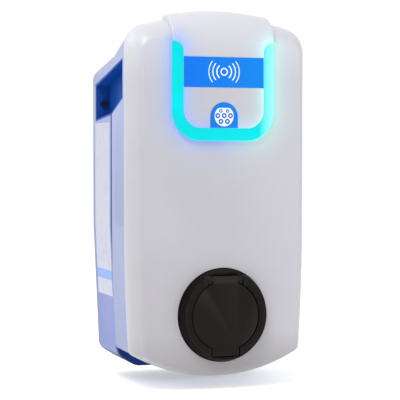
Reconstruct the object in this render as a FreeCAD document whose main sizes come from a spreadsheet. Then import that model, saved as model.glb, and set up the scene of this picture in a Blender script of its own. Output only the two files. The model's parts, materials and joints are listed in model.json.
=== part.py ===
"""Wall-mounted charge point with a lidded seven-contact socket outlet.

Frame: millimetres, +Z up, +X to the right seen from the front, front towards -Y.
The wall is the plane y = 0, and the origin lies on it at mid-height of the unit.
"Forward" means the distance from the wall, so a point's y is minus its forward.
"""
import FreeCAD, Part
import math
import os
from types import SimpleNamespace

import Sketcher
from FreeCAD import Vector, Rotation

os.makedirs("parts", exist_ok=True)
doc = FreeCAD.newDocument("charge_point")

# ---------------------------------------------------------------- dimensions
DIMENSIONS = [
    # outline of the front, seen along the wall's normal
    ("half_width", 112.0, "centre to side, above the knee"),
    ("low_half_width", 107.0, "centre to side, at the lower corners"),
    ("knee", 40.0, "depth below the origin where the sides start to draw in"),
    ("crown_top", 215.0, "height of the crown's top"),
    ("crown_radius", 340.0, "radius of the crown"),
    ("bow_low", 220.0, "depth of the lower bow below the origin"),
    ("bow_radius", 204.0, "radius of the lower bow"),
    ("top_corner", 26.0, "radius of the upper corners"),
    ("low_corner", 8.0, "radius of the lower corners"),
    # stack from the wall to the front
    ("plate_thick", 3.0, "wall plate"),
    ("back_gap", 9.0, "room behind the housing's back"),
    ("housing_wall", 3.0, "rear housing wall"),
    ("housing_depth", 86.0, "rear housing, from the wall"),
    ("seam_depth", 6.0, "blue frame between housing and middle ring"),
    ("cover_rim", 150.0, "forward of the cover's rear rim"),
    ("cover_shoulder", 172.0, "forward of the cover's shoulder section"),
    ("cover_front", 185.0, "forward of the cover's flat face"),
    ("cover_wall", 3.0, "cover wall"),
    # cover sections
    ("shoulder_inset", 3.0, "side inset at the shoulder"),
    ("face_inset", 11.0, "side inset at the flat face"),
    ("crown_shoulder_inset", 6.0, "top inset at the shoulder"),
    ("crown_face_inset", 20.0, "top inset at the flat face"),
    ("bow_shoulder_inset", 2.0, "bottom inset at the shoulder"),
    ("bow_face_inset", 6.0, "bottom inset at the flat face"),
    ("face_round", 7.0, "rounding round the flat face"),
    # raised tongue and its light guide
    ("tongue_half", 64.0, "centre to the tongue's side"),
    ("tongue_low", 64.5, "height of the tongue's lower edge"),
    ("tongue_rise", 5.0, "tongue above the cover"),
    ("arm_width", 13.0, "light guide's upright arms"),
    ("bar_height", 14.5, "light guide's lower bar"),
    ("arm_top", 181.0, "height of the arms' tops"),
    ("guide_outer_round", 35.0, "outer corner of the guide"),
    ("arm_top_round", 11.0, "inner corner at an arm's top"),
    ("guide_edge", 1.6, "rounding of the guide's front edges"),
    ("guide_stem", 6.0, "width of the guide's stem in the cover's slot"),
    ("stem_clear", 0.2, "stem in its slot, each side"),
    ("panel_clear", 0.25, "tongue panel round the guide"),
    ("film_gap", 0.1, "adhesive film under the tongue panel"),
    # prints on the tongue
    ("print_thick", 0.3, "printed films"),
    ("band_low", 127.5, "lower edge of the reader band"),
    ("band_height", 36.0, "reader band"),
    ("badge_half", 17.4, "half width of the plug badge"),
    ("badge_height", 30.5, "plug badge, to the crown of its arch"),
    # middle ring
    ("ring_inset", 1.5, "middle ring behind the cover's outline"),
    ("ring_wall", 4.0, "middle ring wall"),
    ("slant_rear", 28.956, "ring's slanted corners below its crown's ends, at the blue frame"),
    ("slant_front", 7.956, "slanted corners below the crown's ends, at the web"),
    ("web_thick", 3.0, "web across the middle ring"),
    ("lip_inset", 4.5, "locating lip inside the cover's outline"),
    ("lip_wall", 2.0, "locating lip"),
    ("lip_rise", 6.0, "locating lip in front of the ring"),
    ("seal_clear", 0.3, "seals to the moving cover"),
    ("window_half", 88.0, "half width of the service window"),
    ("window_low", 40.0, "depth of the window's lower edge below the origin"),
    ("window_top", 140.0, "height of the window's upper edge"),
    # rear housing outline
    ("rear_inset", 1.5, "rear housing behind the cover's sides"),
    ("rear_low_half", 103.5, "rear housing, half width at its lower corners"),
    ("rear_low_corner", 199.0, "depth where the lower bevel starts"),
    ("rear_low", 214.0, "depth of the housing's floor"),
    ("rear_floor_half", 80.0, "half width of the floor"),
    ("rear_high_corner", 150.0, "height where the upper bevel starts"),
    ("rear_shoulder", 184.0, "height where the upper bevel ends"),
    ("rear_shoulder_half", 72.0, "half width where the upper bevel ends"),
    ("rear_crown_rise", 10.0, "crown of the housing above its shoulders"),
    ("bevel_round", 14.0, "rounding of the housing's bevels"),
    ("back_round", 4.0, "rounding of the housing's back edge"),
    ("seam_groove", 0.3, "blue frame below the outer skin"),
    ("seam_margin", 4.0, "blue frame's opening beyond the service window"),
    ("rim_width", 5.0, "rim of the housing against the wall"),
    # side pockets
    ("pocket_depth", 19.0, "pocket into the side"),
    ("pocket_wall", 2.5, "pocket liner"),
    ("pocket_ledge", 18.0, "forward of the ledge under the lock screw"),
    ("pocket_front", 137.0, "forward of the pocket's front edge"),
    ("pocket_step", 88.0, "forward of the step in the pocket's lower edge"),
    ("pocket_front_top", 161.0, "height at the front, upper edge"),
    ("pocket_rear_top", 135.0, "height at the rear, upper edge"),
    ("pocket_rear_low", 93.0, "height at the rear, lower edge"),
    ("pocket_step_low", 99.0, "height of the lower edge at the step"),
    ("pocket_front_low", 118.0, "height at the front, lower edge"),
    # wall plate and lock screws
    ("plate_clear", 0.5, "wall plate in the housing's recess"),
    ("wall_hole", 3.5, "radius of a wall bolt's hole"),
    ("wall_hole_half", 70.0, "wall bolts, centre to each column"),
    ("wall_hole_top", 103.0, "height of the upper wall bolts"),
    ("wall_hole_low", 167.0, "depth of the lower wall bolts"),
    ("driver_hole", 8.0, "radius of the driver holes in the back"),
    ("lock_side", 100.5, "lock screw, centre to side"),
    ("lock_high", 113.0, "height of the lock screws"),
    ("lock_head", 4.6, "radius of a lock screw's head"),
    ("lock_shank", 2.9, "radius of a lock screw's shank"),
    ("boss_radius", 4.5, "weld nuts on the wall plate"),
    ("screw_clear", 0.1, "screws in their holes"),
    # socket outlet
    ("socket_margin", 8.5, "socket's flange above the bow's lowest point"),
    ("drum_radius", 55.5, "drum where it leaves the cover"),
    ("drum_taper", 3.5, "drum's face smaller than its foot"),
    ("drum_front", 197.0, "forward of the drum's face"),
    ("drum_shoulder", 187.0, "forward of the start of the drum's taper"),
    ("drum_hole_clear", 1.0, "cover's hole round the drum"),
    ("barrel_step", 6.0, "barrel behind the cover, beyond the drum"),
    ("barrel_front", 180.0, "forward of the barrel's face"),
    ("flange_step", 6.5, "mounting flange beyond the barrel"),
    ("flange_thick", 4.0, "mounting flange"),
    ("drum_wall", 3.0, "walls of the drum and barrel"),
    ("well_wall", 3.2, "wall of the plug well"),
    ("lid_floor", 190.0, "forward of the floor under the lid"),
    ("drum_hollow", 184.0, "forward of the hollow in the drum"),
    ("plug_radius", 28.8, "plug well"),
    ("plug_flat", 24.5, "flat of the plug well above its axis"),
    ("collar_room", 5.4, "room round the contact tower for the plug's collar"),
    ("core_front", 187.0, "forward of the contact tower's face"),
    ("core_base", 4.0, "foot of the contact tower"),
    ("core_clear", 0.1, "foot in the plug well"),
    ("pin_pitch", 16.2, "side contacts from the centre"),
    ("low_pin_side", 8.1, "lower contacts, centre to side"),
    ("low_pin_drop", 13.6, "lower contacts below the axis"),
    ("pilot_side", 7.4, "pilot contacts, centre to side"),
    ("pilot_rise", 12.2, "pilot contacts above the axis"),
    ("sleeve_bore", 3.0, "radius of a power contact's bore"),
    ("sleeve_wall", 1.0, "power contact sleeve"),
    ("pilot_bore", 1.5, "radius of a pilot contact's bore"),
    ("pilot_wall", 0.8, "pilot contact sleeve"),
    ("contact_sunk", 1.2, "contacts below the tower's face"),
    ("contact_tail", 12.0, "contacts behind the web"),
    # lid and hinge
    ("lid_radius", 41.5, "lid disc"),
    ("lid_thick", 4.0, "lid disc"),
    ("lid_gap", 1.1, "lid to drum"),
    ("neck_half", 15.8, "half width of the lid's neck"),
    ("tab_half", 16.8, "half width of the lid's finger tab"),
    ("tab_reach", 48.0, "tab's end below the axis"),
    ("chord_rise", 47.5, "hinge flat above the axis"),
    ("swing_room", 2.0, "relief in the drum's face where the lid's shoulders swing"),
    ("crescent_floor", 188.0, "forward of the step above the hinge flat"),
    ("hinge_rise", 42.8, "hinge axis above the socket's axis"),
    ("hinge_forward", 192.2, "forward of the hinge axis"),
    ("knuckle_radius", 4.4, "lid's hinge knuckles"),
    ("hinge_pin", 1.5, "radius of the hinge pin"),
    ("knuckle_skin", 1.3, "knuckle round the spring"),
    ("pin_clear", 0.08, "running fit on the hinge pin"),
    ("pin_half", 23.0, "half length of the hinge pin"),
    ("spring_half", 5.0, "half width of the hinge spring"),
    ("spring_gap", 1.4, "knuckles to the spring's sides"),
    ("spring_wire", 0.45, "radius of the spring wire"),
    ("spring_turns", 5.0, "turns of the spring"),
    ("lid_seal_inner", 33.0, "lid seal, inner radius"),
    ("lid_seal_outer", 37.0, "lid seal, outer radius"),
    # plug lock
    ("lock_pin", 2.6, "radius of the plug's lock pin"),
    ("lock_pin_clear", 0.1, "running fit of the lock pin"),
    ("lock_pin_long", 16.0, "plug's lock pin"),
    ("lock_forward", 168.0, "forward of the lock pin's axis"),
    ("actuator_half", 11.0, "half width of the lock actuator"),
    ("actuator_low", 33.0, "actuator's underside above the socket's axis"),
    ("actuator_high", 22.0, "actuator"),
    ("actuator_half_depth", 9.0, "half depth of the actuator"),
    # equipment on the rail
    ("rail_high", 50.0, "height of the rail's centre line"),
    ("rail_half", 92.0, "half length of the rail"),
    ("rail_width", 35.0, "rail"),
    ("rail_base_width", 27.0, "floor of the rail"),
    ("rail_deep", 7.5, "rail"),
    ("rail_gauge", 1.0, "rail sheet"),
    ("rail_front", 70.0, "forward of the rail's lips"),
    ("rail_post", 3.0, "half width of a rail post"),
    ("rail_post_reach", 12.0, "half height of a rail post"),
    ("rail_post_side", 88.0, "rail posts, centre to side"),
    ("device_high", 90.0, "rail devices"),
    ("device_deep", 60.0, "rail devices, shoulder in front of the rail"),
    ("nose_high", 45.0, "nose of a rail device"),
    ("nose_deep", 7.0, "nose of a rail device"),
    ("module", 18.0, "width of one rail module"),
    ("device_gap", 0.5, "between rail devices"),
    ("lever_width", 30.0, "breaker lever"),
    ("lever_radius", 5.0, "breaker lever's drum"),
    ("lever_long", 9.0, "breaker lever's handle beyond the drum"),
    ("lever_clear", 0.3, "lever in its slot"),
    ("button_radius", 2.5, "test button"),
    ("button_rise", 2.2, "test button in front of the nose"),
    ("button_clear", 0.1, "test button in its bore"),
    ("button_long", 7.0, "test button"),
    # boards
    ("board_thick", 1.6, "circuit boards"),
    ("board_half", 75.0, "controller board, half width"),
    ("board_low", 113.0, "controller board, lower edge"),
    ("board_high", 60.0, "controller board"),
    ("post_radius", 3.0, "posts under the boards"),
    ("post_long", 16.0, "posts under the controller board"),
    ("board_screw", 1.4, "radius of the board screws"),
    ("reader_half", 40.0, "reader board, half width"),
    ("reader_low", 118.0, "reader board, lower edge"),
    ("reader_high", 50.0, "reader board"),
    ("reader_gap", 8.0, "reader board behind the cover's wall"),
    ("led_gap", 3.2, "light board behind the cover's wall"),
    ("led_side", 3.4, "square lamps on the light board"),
    ("led_rise", 1.8, "lamps in front of their board"),
    # supply side
    ("terminal_half", 46.0, "half width of the supply terminals"),
    ("terminal_low", 62.0, "depth of the terminals' lower edge"),
    ("terminal_high", 34.0, "supply terminals"),
    ("terminal_deep", 36.0, "supply terminals"),
    ("clamp_pitch", 18.0, "between supply clamps"),
    ("clamp_head", 3.2, "radius of a supply clamp screw's head"),
    ("clamp_shank", 2.0, "radius of a supply clamp screw's shank"),
    ("clamp_sunk", 8.0, "clamp screws below the terminal's face"),
    ("clamp_screw_long", 6.0, "clamp screws"),
    ("wire_radius", 2.4, "power wires with their insulation"),
    ("wire_clear", 0.3, "wires in the clamps"),
    ("gland_side", 20.0, "supply gland, to the right of the centre"),
    ("gland_forward", 48.0, "supply gland, forward of the wall"),
    ("gland_thread", 16.0, "radius of the gland's thread"),
    ("gland_bore", 10.5, "radius of the gland's bore"),
    ("gland_flat", 20.0, "gland hexagons, centre to flat"),
    ("gland_collar", 6.0, "gland body below the floor"),
    ("gland_nut_high", 12.0, "gland nut"),
    ("blank_side", 34.0, "blanked entry, to the left of the centre"),
    ("blank_radius", 10.0, "blanked entry"),
    ("earth_side", 62.0, "earth bar, centre to the right"),
    ("earth_low", 118.0, "depth of the earth bar"),
    ("earth_thick", 10.0, "earth bar, square"),
    ("earth_shank", 1.8, "radius of an earth screw's shank"),
    # cover fixing
    ("cover_screw_side", 84.0, "cover screws, centre to side"),
    ("cover_screw_forward", 163.0, "forward of the cover screws"),
    ("cover_screw_radius", 2.0, "cover screws' shanks"),
    ("cover_screw_head", 3.8, "cover screws' heads"),
    ("lug_half", 6.0, "half width of a slotted lug"),
    ("lug_thick", 3.0, "slotted lug"),
    ("guard_thick", 2.0, "touch guard"),
    ("label_rear", 15.0, "label, forward of its rear edge"),
    ("label_front", 82.0, "label, forward of its front edge"),
    ("label_low", 128.0, "depth of the label's lower edge"),
    ("label_top", 88.0, "height of the label's upper edge"),
    ("guard_margin", 7.0, "touch guard beyond the window"),
]

sheet = doc.addObject("Spreadsheet::Sheet", "Dims")
for row, (alias, value, meaning) in enumerate(DIMENSIONS, start=1):
    sheet.set(f"A{row}", alias)
    sheet.set(f"B{row}", str(value))
    sheet.set(f"C{row}", meaning)
    sheet.setAlias(f"B{row}", alias)
doc.recompute()


class Size:
    """A length from the sheet, or one worked out from it, with its formula."""

    def __init__(self, formula, value):
        self.formula, self.value = formula, value

    def _with(self, other, sign, result):
        return Size(f"({self.formula} {sign} {size_of(other).formula})", result)

    def __add__(self, other):
        return self._with(other, "+", self.value + size_of(other).value)

    def __sub__(self, other):
        return self._with(other, "-", self.value - size_of(other).value)

    def __mul__(self, other):
        return self._with(other, "*", self.value * size_of(other).value)

    def __truediv__(self, other):
        return self._with(other, "/", self.value / size_of(other).value)

    def __radd__(self, other):
        return size_of(other) + self

    def __rsub__(self, other):
        return size_of(other) - self

    def __rmul__(self, other):
        return size_of(other) * self

    def __neg__(self):
        return Size(f"(-1 * {self.formula})", -self.value)


def size_of(value):
    return value if isinstance(value, Size) else Size(repr(float(value)), float(value))


def root(value):
    return Size(f"sqrt({value.formula})", math.sqrt(value.value))


d = SimpleNamespace(**{alias: Size(f"Dims.{alias}", sheet.get(alias))
                       for alias, _, _ in DIMENSIONS})
ZERO = size_of(0)
d.drum_face_radius = d.drum_radius - d.drum_taper
d.barrel_radius = d.drum_radius + d.barrel_step
d.flange_radius = d.barrel_radius + d.flange_step
d.socket_drop = d.bow_low - d.flange_radius - d.socket_margin
d.well_radius = d.plug_radius + d.well_wall
d.core_radius = d.plug_radius - d.collar_room
d.core_flat = d.plug_flat - d.collar_room


def bind(obj, path, value):
    obj.setExpression(path, size_of(value).formula)


def place(obj, x=0, y=0, z=0):
    for axis, value in zip("xyz", (x, y, z)):
        bind(obj, f"Placement.Base.{axis}", value)


# ---------------------------------------------------------------- primitives
def block(name, x, y, z):
    """A box from three (low, high) pairs."""
    obj = doc.addObject("Part::Box", name)
    for prop, (low, high) in zip(("Length", "Width", "Height"), (x, y, z)):
        bind(obj, prop, size_of(high) - low)
    place(obj, x[0], y[0], z[0])
    return obj


AIM = {"+X": Rotation(Vector(0, 1, 0), 90), "-X": Rotation(Vector(0, 1, 0), -90),
       "-Y": Rotation(Vector(1, 0, 0), 90), "+Y": Rotation(Vector(1, 0, 0), -90),
       "+Z": Rotation(), "-Z": Rotation(Vector(1, 0, 0), 180)}


def rod(name, foot, aim, radius, length, tip=None):
    """A cylinder from its foot point along an axis, or a cone where tip is given."""
    obj = doc.addObject("Part::Cylinder" if tip is None else "Part::Cone", name)
    obj.Placement = FreeCAD.Placement(Vector(), AIM[aim])
    if tip is None:
        bind(obj, "Radius", radius)
    else:
        bind(obj, "Radius1", radius)
        bind(obj, "Radius2", tip)
    bind(obj, "Height", length)
    place(obj, *foot)
    return obj


def hexagon(name, foot, aim, flat, length):
    """A hexagonal prism; flat is the distance from its centre to a flat."""
    obj = doc.addObject("Part::Prism", name)
    obj.Polygon = 6
    obj.Placement = FreeCAD.Placement(Vector(), AIM[aim])
    bind(obj, "Circumradius", size_of(flat) / math.cos(math.radians(30)))
    bind(obj, "Height", length)
    place(obj, *foot)
    return obj


def joined(name, *shapes):
    obj = doc.addObject("Part::MultiFuse", name)
    obj.Shapes = list(shapes)
    obj.Refine = True
    return obj


def together(name, shapes):
    """Separate solids kept side by side in one object."""
    obj = doc.addObject("Part::Compound", name)
    obj.Links = list(shapes)
    return obj


def cut(name, base, *tools):
    obj = doc.addObject("Part::Cut", name)
    obj.Base = base
    obj.Tool = tools[0] if len(tools) == 1 else together(name + "_tools", tools)
    return obj


def rounded(name, base, radius, chosen):
    """Fillet the edges that chosen(edge) picks."""
    doc.recompute()
    obj = doc.addObject("Part::Fillet", name)
    obj.Base = base
    obj.Edges = [(number, radius, radius) for number, edge in enumerate(base.Shape.Edges, 1)
                 if chosen(edge)]
    return obj


NODES = []


def node(label, obj):
    """Give a finished piece its label, which also names its file."""
    obj.Label = label
    NODES.append(obj)
    return obj


# ---------------------------------------------------------------- sketches
def new_body(name):
    return doc.addObject("PartDesign::Body", name)


def origin_plane(body, role):
    return next(item for item in body.Origin.OriginFeatures if item.Role == role)


def new_sketch(body, name, forward, role="XZ_Plane"):
    """A sketch facing the front, its plane this far forward of the wall."""
    sketch = body.newObject("Sketcher::SketchObject", name)
    sketch.AttachmentSupport = [(origin_plane(body, role), "")]
    sketch.MapMode = "FlatFace"
    bind(sketch, "AttachmentOffset.Base.z", forward)
    return sketch


def fix_point(sketch, geo, pos, x, z):
    """Pin a sketch point to two signed distances from the origin."""
    for kind, value in (("DistanceX", size_of(x)), ("DistanceY", size_of(z))):
        if value.value >= 0:
            args, value = (-1, 1, geo, pos), value
        else:
            args, value = (geo, pos, -1, 1), -value
        index = sketch.addConstraint(Sketcher.Constraint(kind, *args, value.value))
        bind(sketch, f"Constraints[{index}]", value)


def arc_through(start, end, centre):
    """The arc under 180 degrees between two points, and whether it runs backwards."""
    first = math.atan2(start.y - centre.y, start.x - centre.x)
    last = math.atan2(end.y - centre.y, end.x - centre.x)
    turn = (last - first) % (2 * math.pi)
    backwards = turn > math.pi
    if backwards:
        first, last = last, first
    circle = Part.Circle(centre, Vector(0, 0, 1), (start - centre).Length)
    return Part.ArcOfCircle(circle, first, first + (last - first) % (2 * math.pi)), backwards


def outline(sketch, corners):
    """A closed outline through corners.

    A corner is (x, z), reached by a straight line, or (x, z, cx, cz), reached by
    an arc about that centre. The last corner joins back to the first.
    """
    points = [Vector(size_of(c[0]).value, size_of(c[1]).value, 0) for c in corners]
    ends = []
    for number, corner in enumerate(corners):
        start, end = points[number - 1], points[number]
        if len(corner) == 2:
            geo, backwards = sketch.addGeometry(Part.LineSegment(start, end)), False
        else:
            centre = Vector(size_of(corner[2]).value, size_of(corner[3]).value, 0)
            arc, backwards = arc_through(start, end, centre)
            geo = sketch.addGeometry(arc)
        ends.append((geo, 2 if backwards else 1, 1 if backwards else 2))
    for number, corner in enumerate(corners):
        geo, _, end = ends[number]
        following, start, _ = ends[(number + 1) % len(ends)]
        sketch.addConstraint(Sketcher.Constraint("Coincident", geo, end, following, start))
        fix_point(sketch, geo, end, corner[0], corner[1])
    for number, corner in enumerate(corners):
        if len(corner) == 4:
            fix_arc(sketch, ends[number][0], points[number], corner)


def fix_arc(sketch, geo, end, corner):
    """Bind an arc's radius to the distance from its end to its centre."""
    across, up = size_of(corner[0]) - corner[2], size_of(corner[1]) - corner[3]
    radius = root(across * across + up * up)
    index = sketch.addConstraint(Sketcher.Constraint("Radius", geo, radius.value))
    bind(sketch, f"Constraints[{index}]", radius)


def circle(sketch, x, z, radius):
    """A circle bound to its centre and radius."""
    x, z, radius = size_of(x), size_of(z), size_of(radius)
    geo = sketch.addGeometry(Part.Circle(Vector(x.value, z.value, 0), Vector(0, 0, 1),
                                         radius.value))
    if x.value == 0 and z.value == 0:
        sketch.addConstraint(Sketcher.Constraint("Coincident", geo, 3, -1, 1))
    elif x.value == 0:
        sketch.addConstraint(Sketcher.Constraint("PointOnObject", geo, 3, -2))
        args = (-1, 1, geo, 3) if z.value > 0 else (geo, 3, -1, 1)
        height = z if z.value > 0 else -z
        index = sketch.addConstraint(Sketcher.Constraint("DistanceY", *args, height.value))
        bind(sketch, f"Constraints[{index}]", height)
    else:
        fix_point(sketch, geo, 3, x, z)
    index = sketch.addConstraint(Sketcher.Constraint("Radius", geo, radius.value))
    bind(sketch, f"Constraints[{index}]", radius)


def mirrored(right):
    """Add the left half to the right half of an outline, listed from top to bottom.

    A corner that an arc reaches passes its arc on to the mirrored corner before it.
    """
    left = []
    for number in range(len(right) - 1, -1, -1):
        x, z = right[number][0], right[number][1]
        after = right[number + 1] if number + 1 < len(right) else None
        if after is not None and len(after) == 4:
            left.append((-size_of(x), z, -size_of(after[2]), after[3]))
        else:
            left.append((-size_of(x), z))
    return right + left


def pad(body, sketch, length, name):
    feature = body.newObject("PartDesign::Pad", name)
    feature.Profile = sketch
    bind(feature, "Length", length)
    return feature


def pocket(body, sketch, length, name):
    """Cut from the sketch's plane back towards the wall."""
    doc.recompute()
    before = body.Shape.Volume
    feature = body.newObject("PartDesign::Pocket", name)
    feature.Profile = sketch
    bind(feature, "Length", length)
    doc.recompute()
    if not body.Shape.Volume < before:
        raise ValueError(f"{name} cuts nothing")
    return feature


def loft(body, sketches, name, kind="PartDesign::AdditiveLoft"):
    feature = body.newObject(kind, name)
    feature.Profile = sketches[0]
    feature.Sections = sketches[1:]
    return feature


def fillet(body, name, radius, chosen):
    """Round the edges of the body so far that chosen(edge) picks."""
    doc.recompute()
    base = body.Tip
    picked = [f"Edge{number}" for number, edge in enumerate(base.Shape.Edges, 1) if chosen(edge)]
    feature = body.newObject("PartDesign::Fillet", name)
    feature.Base = (base, picked)
    bind(feature, "Radius", radius)
    return feature


def middle(edge):
    return edge.valueAt((edge.FirstParameter + edge.LastParameter) / 2)


def runs_forward(edge):
    """True for an edge that leads from the wall side to the front."""
    first, last = edge.valueAt(edge.FirstParameter), edge.valueAt(edge.LastParameter)
    return abs(first.y - last.y) > 0.6 * (first - last).Length


def at_forward(forward, slack=0.01):
    """Picks edges that lie in the plane this far forward of the wall."""
    def chosen(edge):
        return all(abs(-vertex.Point.y - forward.value) < slack for vertex in edge.Vertexes) \
            and abs(-middle(edge).y - forward.value) < slack
    return chosen


# ---------------------------------------------------------------- outlines
CROWN_CENTRE = d.crown_top - d.crown_radius
BOW_CENTRE = d.bow_radius - d.bow_low


def arc_height(centre, radius, side, sign):
    """Height of an arc about (0, centre) at this distance from the middle."""
    return centre + sign * root(radius * radius - size_of(side) * side)


def front_outline(sketch, side_inset, crown_inset=None, bow_inset=None):
    """The unit's front outline, drawn in by the insets; both arcs stay concentric."""
    crown = d.crown_radius - (side_inset if crown_inset is None else crown_inset)
    bow = d.bow_radius - (side_inset if bow_inset is None else bow_inset)
    half, low = d.half_width - side_inset, d.low_half_width - side_inset
    low_z = arc_height(BOW_CENTRE, bow, low, -1)
    drawn, run = half - low, -d.knee - low_z
    side_radius = (drawn * drawn + run * run) / (2 * drawn)
    right = [(half, arc_height(CROWN_CENTRE, crown, half, 1), 0, CROWN_CENTRE),
             (half, -d.knee),
             (low, low_z, half - side_radius, -d.knee)]
    corners = mirrored(right)
    corners[3] = corners[3][:2] + (ZERO, BOW_CENTRE)
    outline(sketch, corners)
    return sketch


def rear_outline(sketch, inset):
    """The rear housing's outline: a shallow crown, four bevels and a flat floor."""
    half = d.half_width - d.rear_inset - inset
    rise, shoulder = d.rear_crown_rise, d.rear_shoulder_half
    radius = (shoulder * shoulder + rise * rise) / (2 * rise)
    centre = d.rear_shoulder + rise - radius
    crown_half = shoulder - inset * 0.42
    right = [(crown_half, arc_height(centre, radius - inset, crown_half, 1), 0, centre),
             (half, d.rear_high_corner - inset * 0.42),
             (half, -d.knee),
             (d.rear_low_half - inset, inset * 0.6 - d.rear_low_corner),
             (d.rear_floor_half - inset * 0.3, size_of(inset) - d.rear_low)]
    outline(sketch, mirrored(right))
    return sketch


def ring_outline(sketch, forward, inset):
    """The front outline with its upper corners cut off, lower towards the wall."""
    start, web = d.housing_depth + d.seam_depth, d.cover_rim - d.web_thick
    slope = (d.rear_shoulder - d.rear_high_corner) / (d.half_width - d.rear_inset
                                                      - d.rear_shoulder_half)
    steep = root(slope * slope + 1)
    wall = inset - d.ring_inset
    half, crown = d.half_width - inset, d.crown_radius - inset
    drop = d.slant_rear + (d.slant_front - d.slant_rear) * (forward - start) / (web - start)
    crown_end = arc_height(CROWN_CENTRE, d.crown_radius - d.ring_inset,
                           d.half_width - d.ring_inset, 1)
    corner = crown_end - drop - wall * (steep - slope)
    reach = corner + slope * half - CROWN_CENTRE
    rest = steep * steep * crown * crown - reach * reach
    crown_half = (reach * slope - root(rest)) / (steep * steep)
    bow, low = d.bow_radius - inset, d.low_half_width - inset
    low_z = arc_height(BOW_CENTRE, bow, low, -1)
    drawn, run = half - low, -d.knee - low_z
    side_radius = (drawn * drawn + run * run) / (2 * drawn)
    right = [(crown_half, arc_height(CROWN_CENTRE, crown, crown_half, 1), 0, CROWN_CENTRE),
             (half, corner),
             (half, -d.knee),
             (low, low_z, half - side_radius, -d.knee)]
    corners = mirrored(right)
    corners[4] = corners[4][:2] + (ZERO, BOW_CENTRE)
    outline(sketch, corners)
    return sketch


def round_front_corners(body, name, inset):
    """Round the four corners of a front outline already padded or lofted."""
    top = fillet(body, name + "_top", d.top_corner - inset,
                 lambda edge: runs_forward(edge) and middle(edge).z > 100)
    low = fillet(body, name + "_low", d.low_corner - inset,
                 lambda edge: runs_forward(edge) and middle(edge).z < -150)
    return top, low


def cover_sections(body, name, rise):
    """Rim, shoulder and face sections of the cover, grown by rise on every side."""
    sections = []
    for part, forward, side, crown, bow in (
            ("rim", d.cover_rim, ZERO, ZERO, ZERO),
            ("shoulder", d.cover_shoulder, d.shoulder_inset, d.crown_shoulder_inset,
             d.bow_shoulder_inset),
            ("face", d.cover_front, d.face_inset, d.crown_face_inset, d.bow_face_inset)):
        grown = forward if part == "rim" else forward + rise
        sketch = new_sketch(body, f"{name}_{part}", grown)
        sections.append(front_outline(sketch, side - rise, crown - rise, bow - rise))
    return sections


def cover_form(body, name, rise):
    """The cover's outer form as a solid, grown by rise."""
    rise = size_of(rise)
    loft(body, cover_sections(body, name, rise), name + "_form")
    round_front_corners(body, name + "_corners", -rise)
    fillet(body, name + "_face_round", d.face_round + rise, at_forward(d.cover_front + rise))


# ---------------------------------------------------------------- the light guide's U
GUIDE_INNER = d.tongue_half - d.arm_width
GUIDE_FLOOR = d.tongue_low + d.bar_height


def guide_outline(sketch, inset, clear, top, top_round):
    """The U of the light guide, narrowed by inset all round and grown by clear."""
    grow = size_of(clear) - inset
    outer, inner = d.tongue_half + grow, GUIDE_INNER - grow
    low, floor = d.tongue_low - grow, GUIDE_FLOOR + grow
    bend = d.tongue_half - d.guide_outer_round
    arm_cx, arm_cz = inner + top_round, top - top_round
    right = [(bend, floor),
             (inner, floor + (inner - bend), bend, floor + (inner - bend)),
             (inner, arm_cz),
             (arm_cx, top, arm_cx, arm_cz),
             (outer, top),
             (outer, low + (outer - bend)),
             (bend, low, bend, low + (outer - bend))]
    outline(sketch, mirrored(right))
    return sketch


# ---------------------------------------------------------------- wall plate and housing
def wall_plate():
    """Flat steel plate with four wall holes and a weld nut behind each lock screw."""
    body = new_body("plate_sheet")
    pad(body, rear_outline(new_sketch(body, "plate_outline", 0), d.rim_width + d.plate_clear),
        d.plate_thick, "plate_pad")
    nuts = [rod(f"plate_nut_{side}", (x, -d.plate_thick, d.lock_high), "-Y", d.boss_radius,
                d.back_gap - d.plate_thick) for side, x in sides(d.lock_side)]
    holes = [rod(f"plate_hole_{name}", (x, 0, z), "-Y", d.wall_hole, d.plate_thick)
             for name, x, z in wall_holes()]
    holes += [rod(f"plate_lock_hole_{side}", (x, 0, d.lock_high), "-Y",
                  d.lock_shank + d.screw_clear, d.back_gap)
              for side, x in sides(d.lock_side)]
    return cut("wall_plate_cut", joined("plate_and_nuts", body, *nuts), *holes)


def sides(distance):
    return [("right", size_of(distance)), ("left", -size_of(distance))]


def wall_holes():
    return [(f"{side}_{level}", x, z) for side, x in sides(d.wall_hole_half)
            for level, z in (("top", d.wall_hole_top), ("low", -d.wall_hole_low))]


def pocket_corners(side_grow):
    """The side pocket seen from the side, as (forward, height), grown all round."""
    grow = size_of(side_grow)
    return [(d.pocket_front + grow, d.pocket_front_top + grow),
            (d.pocket_ledge - grow, d.pocket_rear_top + grow),
            (d.pocket_ledge - grow, d.pocket_rear_low - grow),
            (d.pocket_step + grow * 0.3, d.pocket_step_low - grow),
            (d.pocket_front + grow, d.pocket_front_low - grow)]


def pocket_block(name, sign, grow, inner, outer):
    """The side pocket's prism between two distances from the centre plane."""
    body = new_body(name)
    sketch = body.newObject("Sketcher::SketchObject", name + "_outline")
    sketch.AttachmentSupport = [(origin_plane(body, "YZ_Plane"), "")]
    sketch.MapMode = "FlatFace"
    bind(sketch, "AttachmentOffset.Base.z", outer if sign > 0 else -size_of(inner))
    outline(sketch, [(-forward, z) for forward, z in pocket_corners(grow)])
    feature = pad(body, sketch, size_of(outer) - inner, name + "_pad")
    feature.Reversed = True
    return body


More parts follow.
